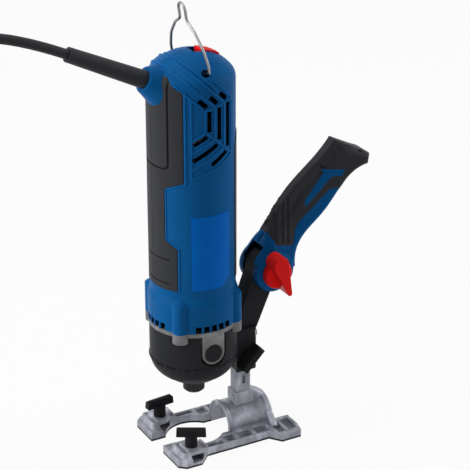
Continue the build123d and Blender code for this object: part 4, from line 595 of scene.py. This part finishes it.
def join_pieces(name, pieces):
    """One object made of several."""
    bpy.ops.object.select_all(action="DESELECT")
    for piece in pieces:
        piece.select_set(True)
    bpy.context.view_layer.objects.active = pieces[0]
    if len(pieces) > 1:
        bpy.ops.object.join()
    pieces[0].name = name
    pieces[0].data.name = name
    return pieces[0]


def apply_modifier(piece, kind, **settings):
    """Adds a modifier with its settings and applies it."""
    bpy.context.view_layer.objects.active = piece
    modifier = piece.modifiers.new(kind.lower(), kind)
    for name, value in settings.items():
        setattr(modifier, name, value)
    bpy.ops.object.modifier_apply(modifier=modifier.name)


def finish_piece(piece, body, material, bevel=0.0003):
    """Rounds the piece's edges, smooths it, and gives it its material and the body it rides on."""
    if bevel:
        apply_modifier(
            piece, "BEVEL", width=bevel, segments=2, limit_method="ANGLE", angle_limit=EDGE_ANGLE
        )
    bpy.ops.object.select_all(action="DESELECT")
    piece.select_set(True)
    bpy.ops.object.shade_smooth_by_angle(angle=SMOOTH_ANGLE)
    piece.data.materials.append(material)
    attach(piece, body)


RIB_WIDTH = 0.0010
RIB_THICKNESS = 0.0011
RIB_STEPS = 36
MISSED_DROP = 0.001
BESIDE_Y = -0.060
BEHIND_X = -0.060
ABOVE_Z = 0.300
FROM_RIGHT = Vector((0.0, -1.0, 0.0))
FROM_BACK = Vector((-1.0, 0.0, 0.0))
FROM_TOP = Vector((0.0, 0.0, 1.0))
FROM_THUMB = Vector((-0.485, -0.875, 0.0))
WEB_LINES = [
    [(-0.0240, 0.2481), (-0.0054, 0.2295), (-0.0054, 0.2137), (-0.0144, 0.2080)],
    [(-0.0210, 0.2540), (0.0018, 0.2312), (0.0018, 0.2085), (-0.0144, 0.1988)],
    [(-0.0155, 0.2580), (0.0096, 0.2329), (0.0096, 0.2015), (-0.0144, 0.1871)],
    [(-0.0125, 0.2590), (0.0040, 0.2425)],
    [(0.0030, 0.2490), (0.0169, 0.2351), (0.0169, 0.1945), (0.0061, 0.1875), (-0.0144, 0.1805)],
    [(-0.0144, 0.2390), (-0.0144, 0.1805)],
    [(-0.0054, 0.2297), (0.0169, 0.2345)],
    [(-0.0054, 0.2144), (0.0169, 0.1944)],
]
CREST_LINES = [
    [(-0.0210, -0.0142), (-0.0232, -0.0006)],
    [(-0.0155, -0.0134), (-0.0174, -0.0006)],
    [(-0.0125, -0.0141), (-0.0146, -0.0006)],
]
LIP_LINE = [
    (-0.0252, 0.2425),
    (-0.0252, 0.1765),
    (-0.0139, 0.1710),
    (-0.0139, 0.1328),
    (-0.0218, 0.1270),
    (-0.0218, 0.0945),
]
BAIL_HOLE = Vector((-0.0020, -0.0252, 0.2545))
BAIL_HOLE_R = 0.0017
BAIL_HOLE_TIP = math.radians(48.0)
BAIL_SHADE_SECTION = (0.0024, 0.0008)
BAIL_SHADE_STEPS = 32


def laid_rib(start, end, facing, target, width=RIB_WIDTH):
    """A narrow strip between two points, laid straight down on a skin and made thick."""
    along = (end - start).normalized()
    across = facing.cross(along).normalized()
    bpy.ops.object.select_all(action="DESELECT")
    bpy.ops.mesh.primitive_grid_add(x_subdivisions=RIB_STEPS, y_subdivisions=2, size=1.0)
    rib = bpy.context.object
    rib.scale = ((end - start).length + width, width, 1.0)
    rib.rotation_euler = Matrix((along, across, along.cross(across))).transposed().to_euler()
    rib.location = (start + end) / 2
    apply_modifier(
        rib,
        "SHRINKWRAP",
        wrap_method="PROJECT",
        target=target,
        use_project_z=True,
        use_positive_direction=False,
        use_negative_direction=True,
    )
    bpy.ops.object.mode_set(mode="EDIT")
    select_corners(rib, lambda place: place.z > -MISSED_DROP)
    bpy.ops.mesh.delete(type="VERT")
    bpy.ops.object.mode_set(mode="OBJECT")
    bpy.ops.object.transform_apply(location=True, rotation=True, scale=True)
    apply_modifier(rib, "SOLIDIFY", thickness=RIB_THICKNESS, offset=0.0)
    return rib


def laid_line(points, facing, target):
    """Ribs from each point of a line to its next."""
    return [laid_rib(start, end, facing, target) for start, end in zip(points, points[1:])]


def web_ribs():
    """Raised web between the vents of one flank and the straps that carry it on over the roof."""
    ribs = []
    for line in WEB_LINES:
        points = [Vector((across, BESIDE_Y, height)) for across, height in line]
        ribs += laid_line(points, FROM_RIGHT, nodes["housing_right"])
    for line in CREST_LINES:
        points = [Vector((across, beside, ABOVE_Z)) for across, beside in line]
        ribs += laid_line(points, FROM_TOP, nodes["housing_right"])
    return ribs


def grip_lips():
    """Raised lip of the housing along one edge of its front grip."""
    points = [Vector((BEHIND_X, beside, height)) for beside, height in LIP_LINE]
    return laid_line(points, FROM_BACK, nodes["housing_right"])


def bail_hole_shade_ring():
    """Ring of slight relief round the hole that takes one end of the bail, painted near-black as the hole's
    shade.
    """
    axis = Vector((0.0, -math.cos(BAIL_HOLE_TIP), math.sin(BAIL_HOLE_TIP)))
    side = BAIL_HOLE + Vector((BAIL_HOLE_R, 0.0, 0.0))
    tip = math.pi / 2 - BAIL_HOLE_TIP
    return spun_rim(*BAIL_SHADE_SECTION, side, tip, BAIL_HOLE, axis, 2 * math.pi, BAIL_SHADE_STEPS)


def mirrored(name, pieces):
    """One object made of several pieces and their images on the far side."""
    both = join_pieces(name, pieces)
    apply_modifier(both, "MIRROR", use_axis=(False, True, False))
    return both


class CUTTER_OT_shell(bpy.types.Operator):
    """Finishes the housing halves, their screws and the label plate, and adds ribs, lips and the near-black
    rings painted as shade in the bail's holes.
    """

    bl_idname = "cutter.shell"
    bl_label = "Shell"

    def execute(self, context):
        colours = context.scene.cutter_colours
        # The shell is painted near-black as shade behind its vents and windows.
        shell = moulded("blue_shell", colours.shell, shade_mask=housing_shade)
        paint(shell, "housing_right", "housing_left")
        # Ribs and lips get the shell's colour made lighter, as a painted highlight along them.
        skin = moulded("rib_plastic_painted_highlight", shaded(colours.shell, 1.2))
        ribs = mirrored("web_ribs", web_ribs())
        finish_piece(ribs, "tool", skin)
        lips = mirrored("grip_lips", grip_lips())
        finish_piece(lips, "tool", skin)
        hole_shades = mirrored("bail_hole_shade_rings", [bail_hole_shade_ring()])
        # Painted shade: the rings over the bail's holes are made near-black.
        dark = moulded("bail_hole_painted_shade", shaded(colours.shell, 0.08))
        finish_piece(hole_shades, "tool", dark)
        paint(moulded("label_plate_skin", colours.label, 0.30, 900.0, 0.00003), "label_plate")
        screws = bright_metal("screw_steel", shaded(colours.steel, 0.6), 0.3)
        paint(screws, "housing_screws", "shield_screws", "bracket_screws", "cord_clamp_screws")
        return {"FINISHED"}


class CUTTER_OT_grips(bpy.types.Operator):
    """Finishes the soft grips of the housing."""

    bl_idname = "cutter.grips"
    bl_label = "Grips"

    def execute(self, context):
        soft = rubbery("soft_grip", context.scene.cutter_colours.grip, ornament=body_lines)
        paint(soft, "front_grip_right", "front_grip_left", "rear_grip_right", "rear_grip_left")
        return {"FINISHED"}


GUARD_RING_SECTION = (0.0012, 0.0014)
GUARD_RING_PLACE = (0.0321, 0.0, 0.0318)
GUARD_RING_STEPS = 96
GUARD_RING_BEVEL = 0.0004


def guard_ring():
    """Narrow bead round the upper edge of the nose guard."""
    axis_foot = (0.0, 0.0, 0.0)
    ring = spun_rim(
        *GUARD_RING_SECTION, GUARD_RING_PLACE, math.pi / 2, axis_foot, UPWARD, 2 * math.pi, GUARD_RING_STEPS
    )
    return join_pieces("guard_ring", [ring])


class CUTTER_OT_nose(bpy.types.Operator):
    """Finishes the nose guard, the end shield, the bracket and the lock button, and adds the guard's bead."""

    bl_idname = "cutter.nose"
    bl_label = "Nose"

    def execute(self, context):
        colours = context.scene.cutter_colours
        black = moulded("black_plastic", colours.black, 0.42, 1300.0)
        paint(black, "nose_guard", "guide_bracket", "lock_button")
        finish_piece(guard_ring(), "tool", black, GUARD_RING_BEVEL)
        paint(cast_alloy("shield_alloy", colours.shield, 0.55, 0.15), "end_shield")
        paint(moulded("baffle_plastic", shaded(colours.black, 0.7), 0.5), "air_baffle")
        return {"FINISHED"}


NECK_START = 0.008
NECK_END = 0.040
STATION_STEP = 0.004
STATIONS = [NECK_START + STATION_STEP * step for step in range(26)]
PALM_STATIONS = 7
FLANK_CUTS = [0.0062, 0.0076, 0.0090, 0.0105]
PALM_ACROSS = -0.005
BACK_DEPTH = 0.026
BACK_DRAW = 0.0040
FLANK_DRAW = 0.0085
FLANK_START = 0.0062
FLANK_END = 0.0105
BACK_THIN = 0.45
THUMB_Y = -0.0110
THUMB_STANDOFF = 0.060
THUMB_RIB_WIDTH = 0.0026
THUMB_RIB_BEVEL = 0.0008
THUMB_RIBS = [
    (0.0593, 0.1119, 0.1270),
    (0.0647, 0.1107, 0.1315),
    (0.0701, 0.1095, 0.1360),
    (0.0743, 0.1086, 0.1385),
]


def slimmed(place):
    """Where a point of the handle goes when the handle's back is drawn out and made thin."""
    along = (place - PIVOT).dot(HANDLE_ALONG)
    across = (place - PIVOT).dot(HANDLE_ACROSS)
    share = eased(along, NECK_START, NECK_END) * max(across - PALM_ACROSS, 0.0) / BACK_DEPTH
    draw = BACK_DRAW - FLANK_DRAW * eased(abs(place.y), FLANK_START, FLANK_END)
    return place + HANDLE_ACROSS * (draw * share) - Vector((0.0, place.y * BACK_THIN * share, 0.0))


def slim_copy(name, node):
    """A copy of one of the handle's nodes, cut at even stations and given a thin drawn-out back."""
    piece = node_copy(name, node)
    cuts = [(PIVOT + HANDLE_ALONG * station, HANDLE_ALONG) for station in STATIONS]
    for step in range(PALM_STATIONS):
        cuts.append((PIVOT + HANDLE_ACROSS * (PALM_ACROSS + STATION_STEP * step), HANDLE_ACROSS))
    for beside in FLANK_CUTS:
        cuts += [(FROM_RIGHT * beside, FROM_RIGHT), (FROM_RIGHT * -beside, FROM_RIGHT)]
    bpy.ops.object.mode_set(mode="EDIT")
    for place, normal in cuts:
        bpy.ops.mesh.select_all(action="SELECT")
        bpy.ops.mesh.bisect(plane_co=place, plane_no=normal)
    bpy.ops.object.mode_set(mode="OBJECT")
    for point in piece.data.vertices:
        point.co = slimmed(point.co)
    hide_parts(node)
    return piece


def ear_slot():
    """Core that carries the slot between the ears up into the neck."""
    core = add_block((SLOT_BACK, -SLOT_HALF, 0.0), (SLOT_END, SLOT_HALF, SLOT_DEPTH))
    bpy.ops.object.mode_set(mode="OBJECT")
    turned = Matrix((HANDLE_ALONG, -FROM_RIGHT, HANDLE_ACROSS)).transposed()
    core.rotation_euler = turned.to_euler()
    core.location = PIVOT
    bpy.ops.object.transform_apply(location=True, rotation=True, scale=True)
    return core


def handle_ribs(grip):
    """Soft upright ribs where the thumb rests on the grip."""
    ribs = []
    for across, low, high in THUMB_RIBS:
        ends = [Vector((across, THUMB_Y, height)) + FROM_THUMB * THUMB_STANDOFF for height in (low, high)]
        ribs.append(laid_rib(*ends, FROM_THUMB, grip, THUMB_RIB_WIDTH))
    return ribs


class CUTTER_OT_handle(bpy.types.Operator):
    """Slims and finishes the auxiliary handle, and finishes its bolt and its red wing knob."""

    bl_idname = "cutter.handle"
    bl_label = "Handle"

    def execute(self, context):
        colours = context.scene.cutter_colours
        # The shell is painted near-black as shade in the ear slot and under the grip's end.
        shell = moulded("handle_shell", colours.shell, shade_mask=ear_shade)
        for side in ("right", "left"):
            half = slim_copy("slim_handle_" + side, "handle_" + side)
            combine(half, ear_slot(), "DIFFERENCE")
            finish_piece(half, "handle", shell, 0.0)
        rubber = rubbery("handle_rubber", colours.grip)
        grip = slim_copy("slim_handle_grip", "handle_grip")
        finish_piece(grip, "handle", rubber, 0.0)
        ribs = mirrored("handle_ribs", handle_ribs(grip))
        finish_piece(ribs, "handle", rubber, THUMB_RIB_BEVEL)
        screws = slim_copy("slim_handle_screws", "handle_screws")
        dark = bright_metal("handle_screw_steel", shaded(colours.steel, 0.6))
        finish_piece(screws, "handle", dark, 0.0)
        paint(moulded("red_plastic", colours.red, 0.3, 1100.0, 0.00004), "handle_knob", "switch_slider")
        paint(bright_metal("bolt_steel", colours.steel), "handle_bolt")
        return {"FINISHED"}


RAIL_TOP_Z = -0.0350
RAIL_FLOOR_Z = -0.0383
TIP_TOP_Z = -0.0310
TIP_FLOOR_Z = -0.0321
ARCH_AXIS_Z = -0.0340
ARCH_R = 0.0156
ARCH_FRONT_X = 0.0226
ARCH_DIP = math.radians(10.0)
ARCH_LIP_SECTION = (0.0028, 0.0018)
ARCH_LIP_STEPS = 28
POCKET_DRAFT = 0.0006
POCKET_RISE = 0.001
RAIL_POCKETS = [
    (-0.0030, 0.0115, -0.0278, -0.0228),
    (0.0140, 0.0228, -0.0278, -0.0182),
    (0.0246, 0.0366, -0.0278, -0.0175),
    (0.0384, 0.0500, -0.0278, -0.0175),
    (0.0530, 0.0600, -0.0345, -0.0190),
    (0.0616, 0.0700, -0.0345, -0.0170),
]
TIP_POCKETS = [(-0.0252, -0.0214, -0.0336, -0.0174), (-0.0106, -0.0070, -0.0336, -0.0174)]
WEB_LOW = (0.0530, -0.0245, RAIL_TOP_Z - 0.001)
WEB_HIGH = (0.0579, -0.0150, -0.0262)
WEB_DROP = RAIL_TOP_Z + 0.0265
GUSSET_LOW = (0.0455, -0.0058, -0.0215)
GUSSET_HIGH = (0.0577, 0.0058, -0.0102)
GUSSET_DROP = -0.0070


def foot_pockets():
    """Cores of the hollows in the top of both rails and both tips."""
    cores = []
    levels = [(RAIL_POCKETS, RAIL_FLOOR_Z, RAIL_TOP_Z), (TIP_POCKETS, TIP_FLOOR_Z, TIP_TOP_Z)]
    for pockets, floor, top in levels:
        for left, right, outer, inner in pockets:
            cores.append(drafted_block((left, outer, floor), (right, inner, top + POCKET_RISE), POCKET_DRAFT))
    return mirrored("foot_pockets", cores)


def rear_webs():
    """Small webs that spread the arch's rear rim out over the lugs."""
    web = add_block(WEB_LOW, WEB_HIGH)
    select_corners(web, lambda place: place.y < -0.02 and place.z > -0.03)
    bpy.ops.transform.translate(value=(0.0, 0.0, WEB_DROP))
    bpy.ops.object.mode_set(mode="OBJECT")
    return mirrored("rear_webs", [web])


def post_gusset():
    """Plate that slopes from the post's pedestal down to the rear rim of the arch."""
    plate = add_block(GUSSET_LOW, GUSSET_HIGH)
    select_corners(plate, lambda place: place.x > 0.05 and place.z > -0.015)
    bpy.ops.transform.translate(value=(0.0, 0.0, GUSSET_DROP))
    bpy.ops.object.mode_set(mode="OBJECT")
    return plate


def arch_lip():
    """Thick rounded edge round the front of the arch."""
    side = (ARCH_FRONT_X, -ARCH_R * math.cos(ARCH_DIP), ARCH_AXIS_Z - ARCH_R * math.sin(ARCH_DIP))
    centre = (ARCH_FRONT_X, 0.0, ARCH_AXIS_Z)
    sweep = math.pi + 2 * ARCH_DIP
    return spun_rim(*ARCH_LIP_SECTION, side, ARCH_DIP, centre, (1.0, 0.0, 0.0), sweep, ARCH_LIP_STEPS)


class CUTTER_OT_foot(bpy.types.Operator):
    """Finishes the cast foot, its pads and its knobs, and adds its rims and ribs."""

    bl_idname = "cutter.foot"
    bl_label = "Foot"

    def execute(self, context):
        colours = context.scene.cutter_colours
        alloy = cast_alloy("foot_alloy", colours.cast, pocket_z=RAIL_FLOOR_Z)
        foot = node_copy("cast_foot", "depth_foot")
        combine(foot, foot_pockets(), "DIFFERENCE")
        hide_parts("depth_foot")
        finish_piece(foot, "foot", alloy)
        ribs = join_pieces("foot_ribs", [rear_webs(), post_gusset(), arch_lip()])
        finish_piece(ribs, "foot", alloy)
        paint(rubbery("pad_rubber", shaded(colours.grip, 0.8)), "sole_pads")
        knob = moulded("knob_plastic", shaded(colours.black, 0.8), 0.4, 1300.0)
        paint(knob, "depth_knob", "wing_screw_right", "wing_screw_left")
        return {"FINISHED"}


BAIL_SPREAD = 1.03


class CUTTER_OT_drive(bpy.types.Operator):
    """Finishes the motor, the spindle, the switch and the bail."""

    bl_idname = "cutter.drive"
    bl_label = "Drive"

    def execute(self, context):
        colours = context.scene.cutter_colours
        steel = bright_metal("turned_steel", colours.steel)
        paint(steel, "spindle", "collet", "front_bearing_outer", "front_bearing_inner")
        paint(steel, "rear_bearing_outer", "rear_bearing_inner", "lock_ring")
        wire = bright_metal("spring_steel", shaded(colours.steel, 0.8))
        paint(wire, "brush_springs")
        spring = node_copy("return_spring", "lock_spring")
        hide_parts("lock_spring")
        finish_piece(spring, "tool", wire, 0.0)
        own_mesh(spring)
        bail = node_copy("hanger_wire", "hanger_bail")
        bpy.ops.object.mode_set(mode="EDIT")
        bpy.ops.mesh.select_all(action="SELECT")
        bpy.ops.transform.resize(value=(1.0, BAIL_SPREAD, 1.0), center_override=(0.0, 0.0, 0.0))
        bpy.ops.object.mode_set(mode="OBJECT")
        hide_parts("hanger_bail")
        finish_piece(bail, "bail", bright_metal("bail_wire", shaded(colours.steel, 0.5), 0.3), 0.0)
        paint(bright_metal("blackened_steel", tone(52, 52, 54), 0.36), "collet_nut")
        paint(stacked_sheet("lamination", tone(120, 120, 122)), "stator_core", "armature_core")
        # The wire's colour is darker than bare copper: partly its enamel, partly painted shade for the dark
        # inside of the housing.
        paint(wound_wire("copper_wire", tone(126, 66, 36)), "field_coils", "armature_windings")
        paint(bright_metal("commutator_copper", tone(200, 120, 76), 0.3), "commutator")
        paint(bright_metal("holder_brass", tone(140, 112, 58), 0.3), "brush_holders")
        paint(carbon_block("brush_carbon", tone(40, 40, 42)), "carbon_brushes")
        paint(moulded("fan_plastic", tone(30, 30, 32), 0.4), "fan", "switch_module", "rear_bearing_sleeve")
        paint(moulded("capacitor_case", tone(104, 78, 26), 0.35), "capacitor")
        paint(moulded("clamp_plastic", shaded(colours.black, 0.8), 0.45), "cord_clamp")
        return {"FINISHED"}


GLAND = Vector((-0.0358, 0.0, 0.2482))
GLAND_TILT = 26.0
BOOT_LENGTH = 0.062
FALLING_RUNS = [
    (0.042, GLAND_TILT, 180.0),
    (0.040, -3.0, 150.0),
    (0.042, -40.0, 118.0),
    (0.044, -75.0, 60.0),
    (0.046, -80.0, 20.0),
    (0.048, -82.0, 10.0),
]
RISING_RUNS = [(0.025, 0.0, 0.0), (0.026, 30.0, 0.0), (0.026, 60.0, 0.0), (0.040, 87.0, -30.0)]
MIDWAY_PUSH = Vector((0.0015, 0.0015, 0.0))
COIL_CENTRE = Vector((-0.2100, 0.015, -0.0370))
COIL_RADIUS = 0.050
COIL_PITCH = 0.0078
COIL_LEAD = 0.007
COIL_LIFT = 0.01085
COIL_DRAW_IN = 0.012
CLIMB_START = 900.0
CLIMB_END = 1080.0
COIL_END = 1890.0
COIL_STEP = 15.0


def stepped(start, length, rise, bearing):
    """Point a length away from start, in the direction given by its rise and its bearing in degrees."""
    climb = math.radians(rise)
    heading = math.radians(bearing)
    level = length * math.cos(climb)
    return start + Vector((level * math.cos(heading), level * math.sin(heading), length * math.sin(climb)))


def eased(value, start, end):
    """0 before start, 1 after end, and smooth between."""
    share = min(max((value - start) / (end - start), 0.0), 1.0)
    return share * share * (3 - 2 * share)


def coil_point(turned):
    """Middle of the cord after so many degrees of coil: in along the floor, up, and out on top."""
    inner = COIL_RADIUS - COIL_PITCH * CLIMB_START / 360
    if turned < CLIMB_START:
        radius = COIL_RADIUS - COIL_PITCH * turned / 360
    elif turned < CLIMB_END:
        climbed = turned - CLIMB_START
        radius = inner - COIL_PITCH / 360 * (climbed - climbed * climbed / 180)
    else:
        radius = inner + COIL_PITCH * (turned - CLIMB_END) / 360
    radius -= COIL_DRAW_IN * eased(turned, COIL_END - 90, COIL_END)
    height = COIL_PITCH * eased(turned, CLIMB_START, CLIMB_END)
    height += COIL_LIFT * eased(turned, COIL_END - 150, COIL_END - 60)
    bearing = math.radians(90 + turned)
    return COIL_CENTRE + Vector((radius * math.cos(bearing), radius * math.sin(bearing), height))


def cord_route():
    """Every point of the cord, from the boot's tip down to the floor, round the coil and to the plug."""
    tilt = math.radians(GLAND_TILT)
    top = [GLAND + BOOT_LENGTH * Vector((-math.cos(tilt), 0, math.sin(tilt)))]
    for run in FALLING_RUNS:
        top.append(stepped(top[-1], *run))
    mouth = coil_point(0.0) + Vector((COIL_LEAD, 0, 0))
    foot = [mouth]
    for run in RISING_RUNS:
        foot.append(stepped(foot[-1], *run))
    midway = (top[-1] + foot[-1]) / 2 + MIDWAY_PUSH
    turns = [coil_point(COIL_STEP * step) for step in range(int(COIL_END / COIL_STEP) + 1)]
    leaving = (coil_point(COIL_END + 0.05) - coil_point(COIL_END - 0.05)) * Vector((1, 1, 0))
    return top + [midway] + foot[::-1] + turns + [turns[-1] + leaving.normalized() * COIL_LEAD]


class CUTTER_OT_cord(bpy.types.Operator):
    """Lays the supply cord and finishes its boot, tie and plug."""

    bl_idname = "cutter.cord"
    bl_label = "Supply cord"

    def execute(self, context):
        colours = context.scene.cutter_colours
        sizes = context.scene.cutter_cord
        route = cord_route()
        line = bpy.data.curves.new("supply_lead", "CURVE")
        line.dimensions = "3D"
        line.bevel_depth = sizes.diameter / 2
        line.bevel_resolution = 5
        line.resolution_u = 8
        line.use_fill_caps = True
        spline = line.splines.new("NURBS")
        spline.points.add(len(route) - 1)
        for control, point in zip(spline.points, route):
            control.co = (*point, 1.0)
        spline.order_u = 3
        spline.use_endpoint_u = True
        lead = bpy.data.objects.new("supply_lead", line)
        context.scene.collection.objects.link(lead)
        jacket = rubbery("cord_jacket", colours.cord, 0.5)
        line.materials.append(jacket)
        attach(lead, "tool")
        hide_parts("supply_cord", "cord_coil")
        paint(jacket, "cord_boot", "cord_tail")
        paint(moulded("plug_plastic", colours.cord, 0.4), "plug_body", "cord_tie")
        paint(bright_metal("pin_brass", tone(206, 196, 170), 0.22), "plug_pins")
        return {"FINISHED"}


def softbox(name, place, aim, size, power):
    """A rectangular lamp that faces a point."""
    bpy.ops.object.light_add(type="AREA", location=place)
    lamp = bpy.context.object
    lamp.name = name
    lamp.rotation_euler = (Vector(aim) - Vector(place)).to_track_quat("-Z", "Y").to_euler()
    lamp.data.shape = "RECTANGLE"
    lamp.data.size, lamp.data.size_y = size
    lamp.data.energy = power


def backdrop_ray(tree):
    """1 for rays that show the backdrop itself, straight, mirrored or through something clear."""
    straight = tree.node("ShaderNodeLightPath", {}, {}, "Is Camera Ray")
    mirrored = tree.node("ShaderNodeLightPath", {}, {}, "Is Glossy Ray")
    through = tree.node("ShaderNodeLightPath", {}, {}, "Is Transmission Ray")
    return straight.count("MAXIMUM", straight, straight.count("MAXIMUM", mirrored, through))


class CUTTER_OT_stage(bpy.types.Operator):
    """Sets the camera, the pale floor, the room and the softboxes."""

    bl_idname = "cutter.stage"
    bl_label = "Studio"

    def execute(self, context):
        stage = context.scene.cutter_stage
        self.set_camera(context, stage)
        self.lay_floor(stage)
        self.light_room(context, stage)
        aim = (0.0, 0.0, stage.height)
        softbox("key_softbox", (-1.40, 0.35, 0.70), aim, (1.0, 1.3), stage.key)
        softbox("top_softbox", (-0.2, 0.2, 1.6), aim, (1.2, 1.2), stage.top)
        softbox("rim_softbox", (1.30, -0.35, 0.60), aim, (0.7, 1.2), stage.rim)
        return {"FINISHED"}

    def set_camera(self, context, stage):
        """Puts the camera where the picture was taken from."""
        turned = stage.azimuth
        aside = Vector((math.cos(turned), math.sin(turned), 0.0))
        away = Vector((math.sin(turned), -math.cos(turned), 0.0)) * math.cos(stage.elevation)
        away.z = math.sin(stage.elevation)
        middle = stage.aside * aside + Vector((0.0, 0.0, stage.height))
        place = middle + stage.distance * away
        bpy.ops.object.camera_add(location=place, rotation=(-away).to_track_quat("-Z", "Y").to_euler())
        camera = context.object
        camera.name = "photo_camera"
        camera.data.sensor_width = 36.0
        camera.data.lens = stage.lens
        context.scene.camera = camera

    def lay_floor(self, stage):
        """Lays a wide floor just under the sole."""
        bpy.ops.mesh.primitive_plane_add(size=FLOOR_WIDTH, location=(0.0, 0.0, FLOOR_Z - FLOOR_GAP))
        floor = bpy.context.object
        floor.name = "pale_floor"
        floor.data.materials.append(self.floor_finish(stage))

    def floor_finish(self, stage):
        """Clear to the eye and the lamps, so that a lowered foot shows, with a faint shadow kept on it."""
        finish = Finish("pale_floor")
        finish.dress(base_color=(0.86, 0.86, 0.86), roughness=0.9, specular_ior_level=0.1)
        clear = finish.node("ShaderNodeBsdfTransparent", {}, {"Color": stage.backdrop})
        shown = backdrop_ray(finish)
        lamplight = finish.node("ShaderNodeLightPath", {}, {}, "Is Shadow Ray")
        share = shown.count("MAXIMUM", shown, lamplight) * FLOOR_CLEAR
        lit = Wire(finish, finish.shader.outputs[0])
        blend = finish.node("ShaderNodeMixShader", {}, {0: share, 1: lit, 2: clear})
        finish.tree.links.new(blend.socket, finish.tree.nodes["Material Output"].inputs["Surface"])
        return finish.material

    def light_room(self, context, stage):
        """Lights the room evenly and shows its far end as the plain backdrop."""
        room = bpy.data.worlds.new("studio_room")
        room.use_nodes = True
        context.scene.world = room
        air = Tree(room.node_tree)
        back = room.node_tree.nodes["Background"]
        air.feed(back.inputs["Color"], stage.backdrop)
        air.feed(back.inputs["Strength"], stage.ambient + backdrop_ray(air) * (1.0 - stage.ambient))


OPERATORS = (
    CUTTER_OT_shell,
    CUTTER_OT_grips,
    CUTTER_OT_nose,
    CUTTER_OT_handle,
    CUTTER_OT_foot,
    CUTTER_OT_drive,
    CUTTER_OT_cord,
    CUTTER_OT_stage,
)


class CUTTER_PT_panel(bpy.types.Panel):
    """Lists the steps and the values that they use."""

    bl_idname = "CUTTER_PT_panel"
    bl_label = "Rotary cutter"
    bl_space_type = "VIEW_3D"
    bl_region_type = "UI"
    bl_category = "Cutter"

    def draw(self, context):
        for operator in OPERATORS:
            self.layout.operator(operator.bl_idname)
        for group in (context.scene.cutter_colours, context.scene.cutter_cord, context.scene.cutter_stage):
            for name in group.__annotations__:
                self.layout.prop(group, name)


CLASSES = (CutterColours, CutterCord, CutterStage) + OPERATORS + (CUTTER_PT_panel,)


def register():
    for item in CLASSES:
        bpy.utils.register_class(item)
    bpy.types.Scene.cutter_colours = bpy.props.PointerProperty(type=CutterColours)
    bpy.types.Scene.cutter_cord = bpy.props.PointerProperty(type=CutterCord)
    bpy.types.Scene.cutter_stage = bpy.props.PointerProperty(type=CutterStage)


def unregister():
    del bpy.types.Scene.cutter_stage
    del bpy.types.Scene.cutter_cord
    del bpy.types.Scene.cutter_colours
    for item in reversed(CLASSES):
        bpy.utils.unregister_class(item)


def main():
    """Registers the add-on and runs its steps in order."""
    register()
    bpy.context.scene.view_settings.view_transform = "Standard"
    bpy.ops.object.select_all(action="DESELECT")
    bpy.ops.cutter.shell()
    bpy.ops.cutter.grips()
    bpy.ops.cutter.nose()
    bpy.ops.cutter.handle()
    bpy.ops.cutter.foot()
    bpy.ops.cutter.drive()
    bpy.ops.cutter.cord()
    bpy.ops.cutter.stage()


if __name__ == "__main__":
    main()
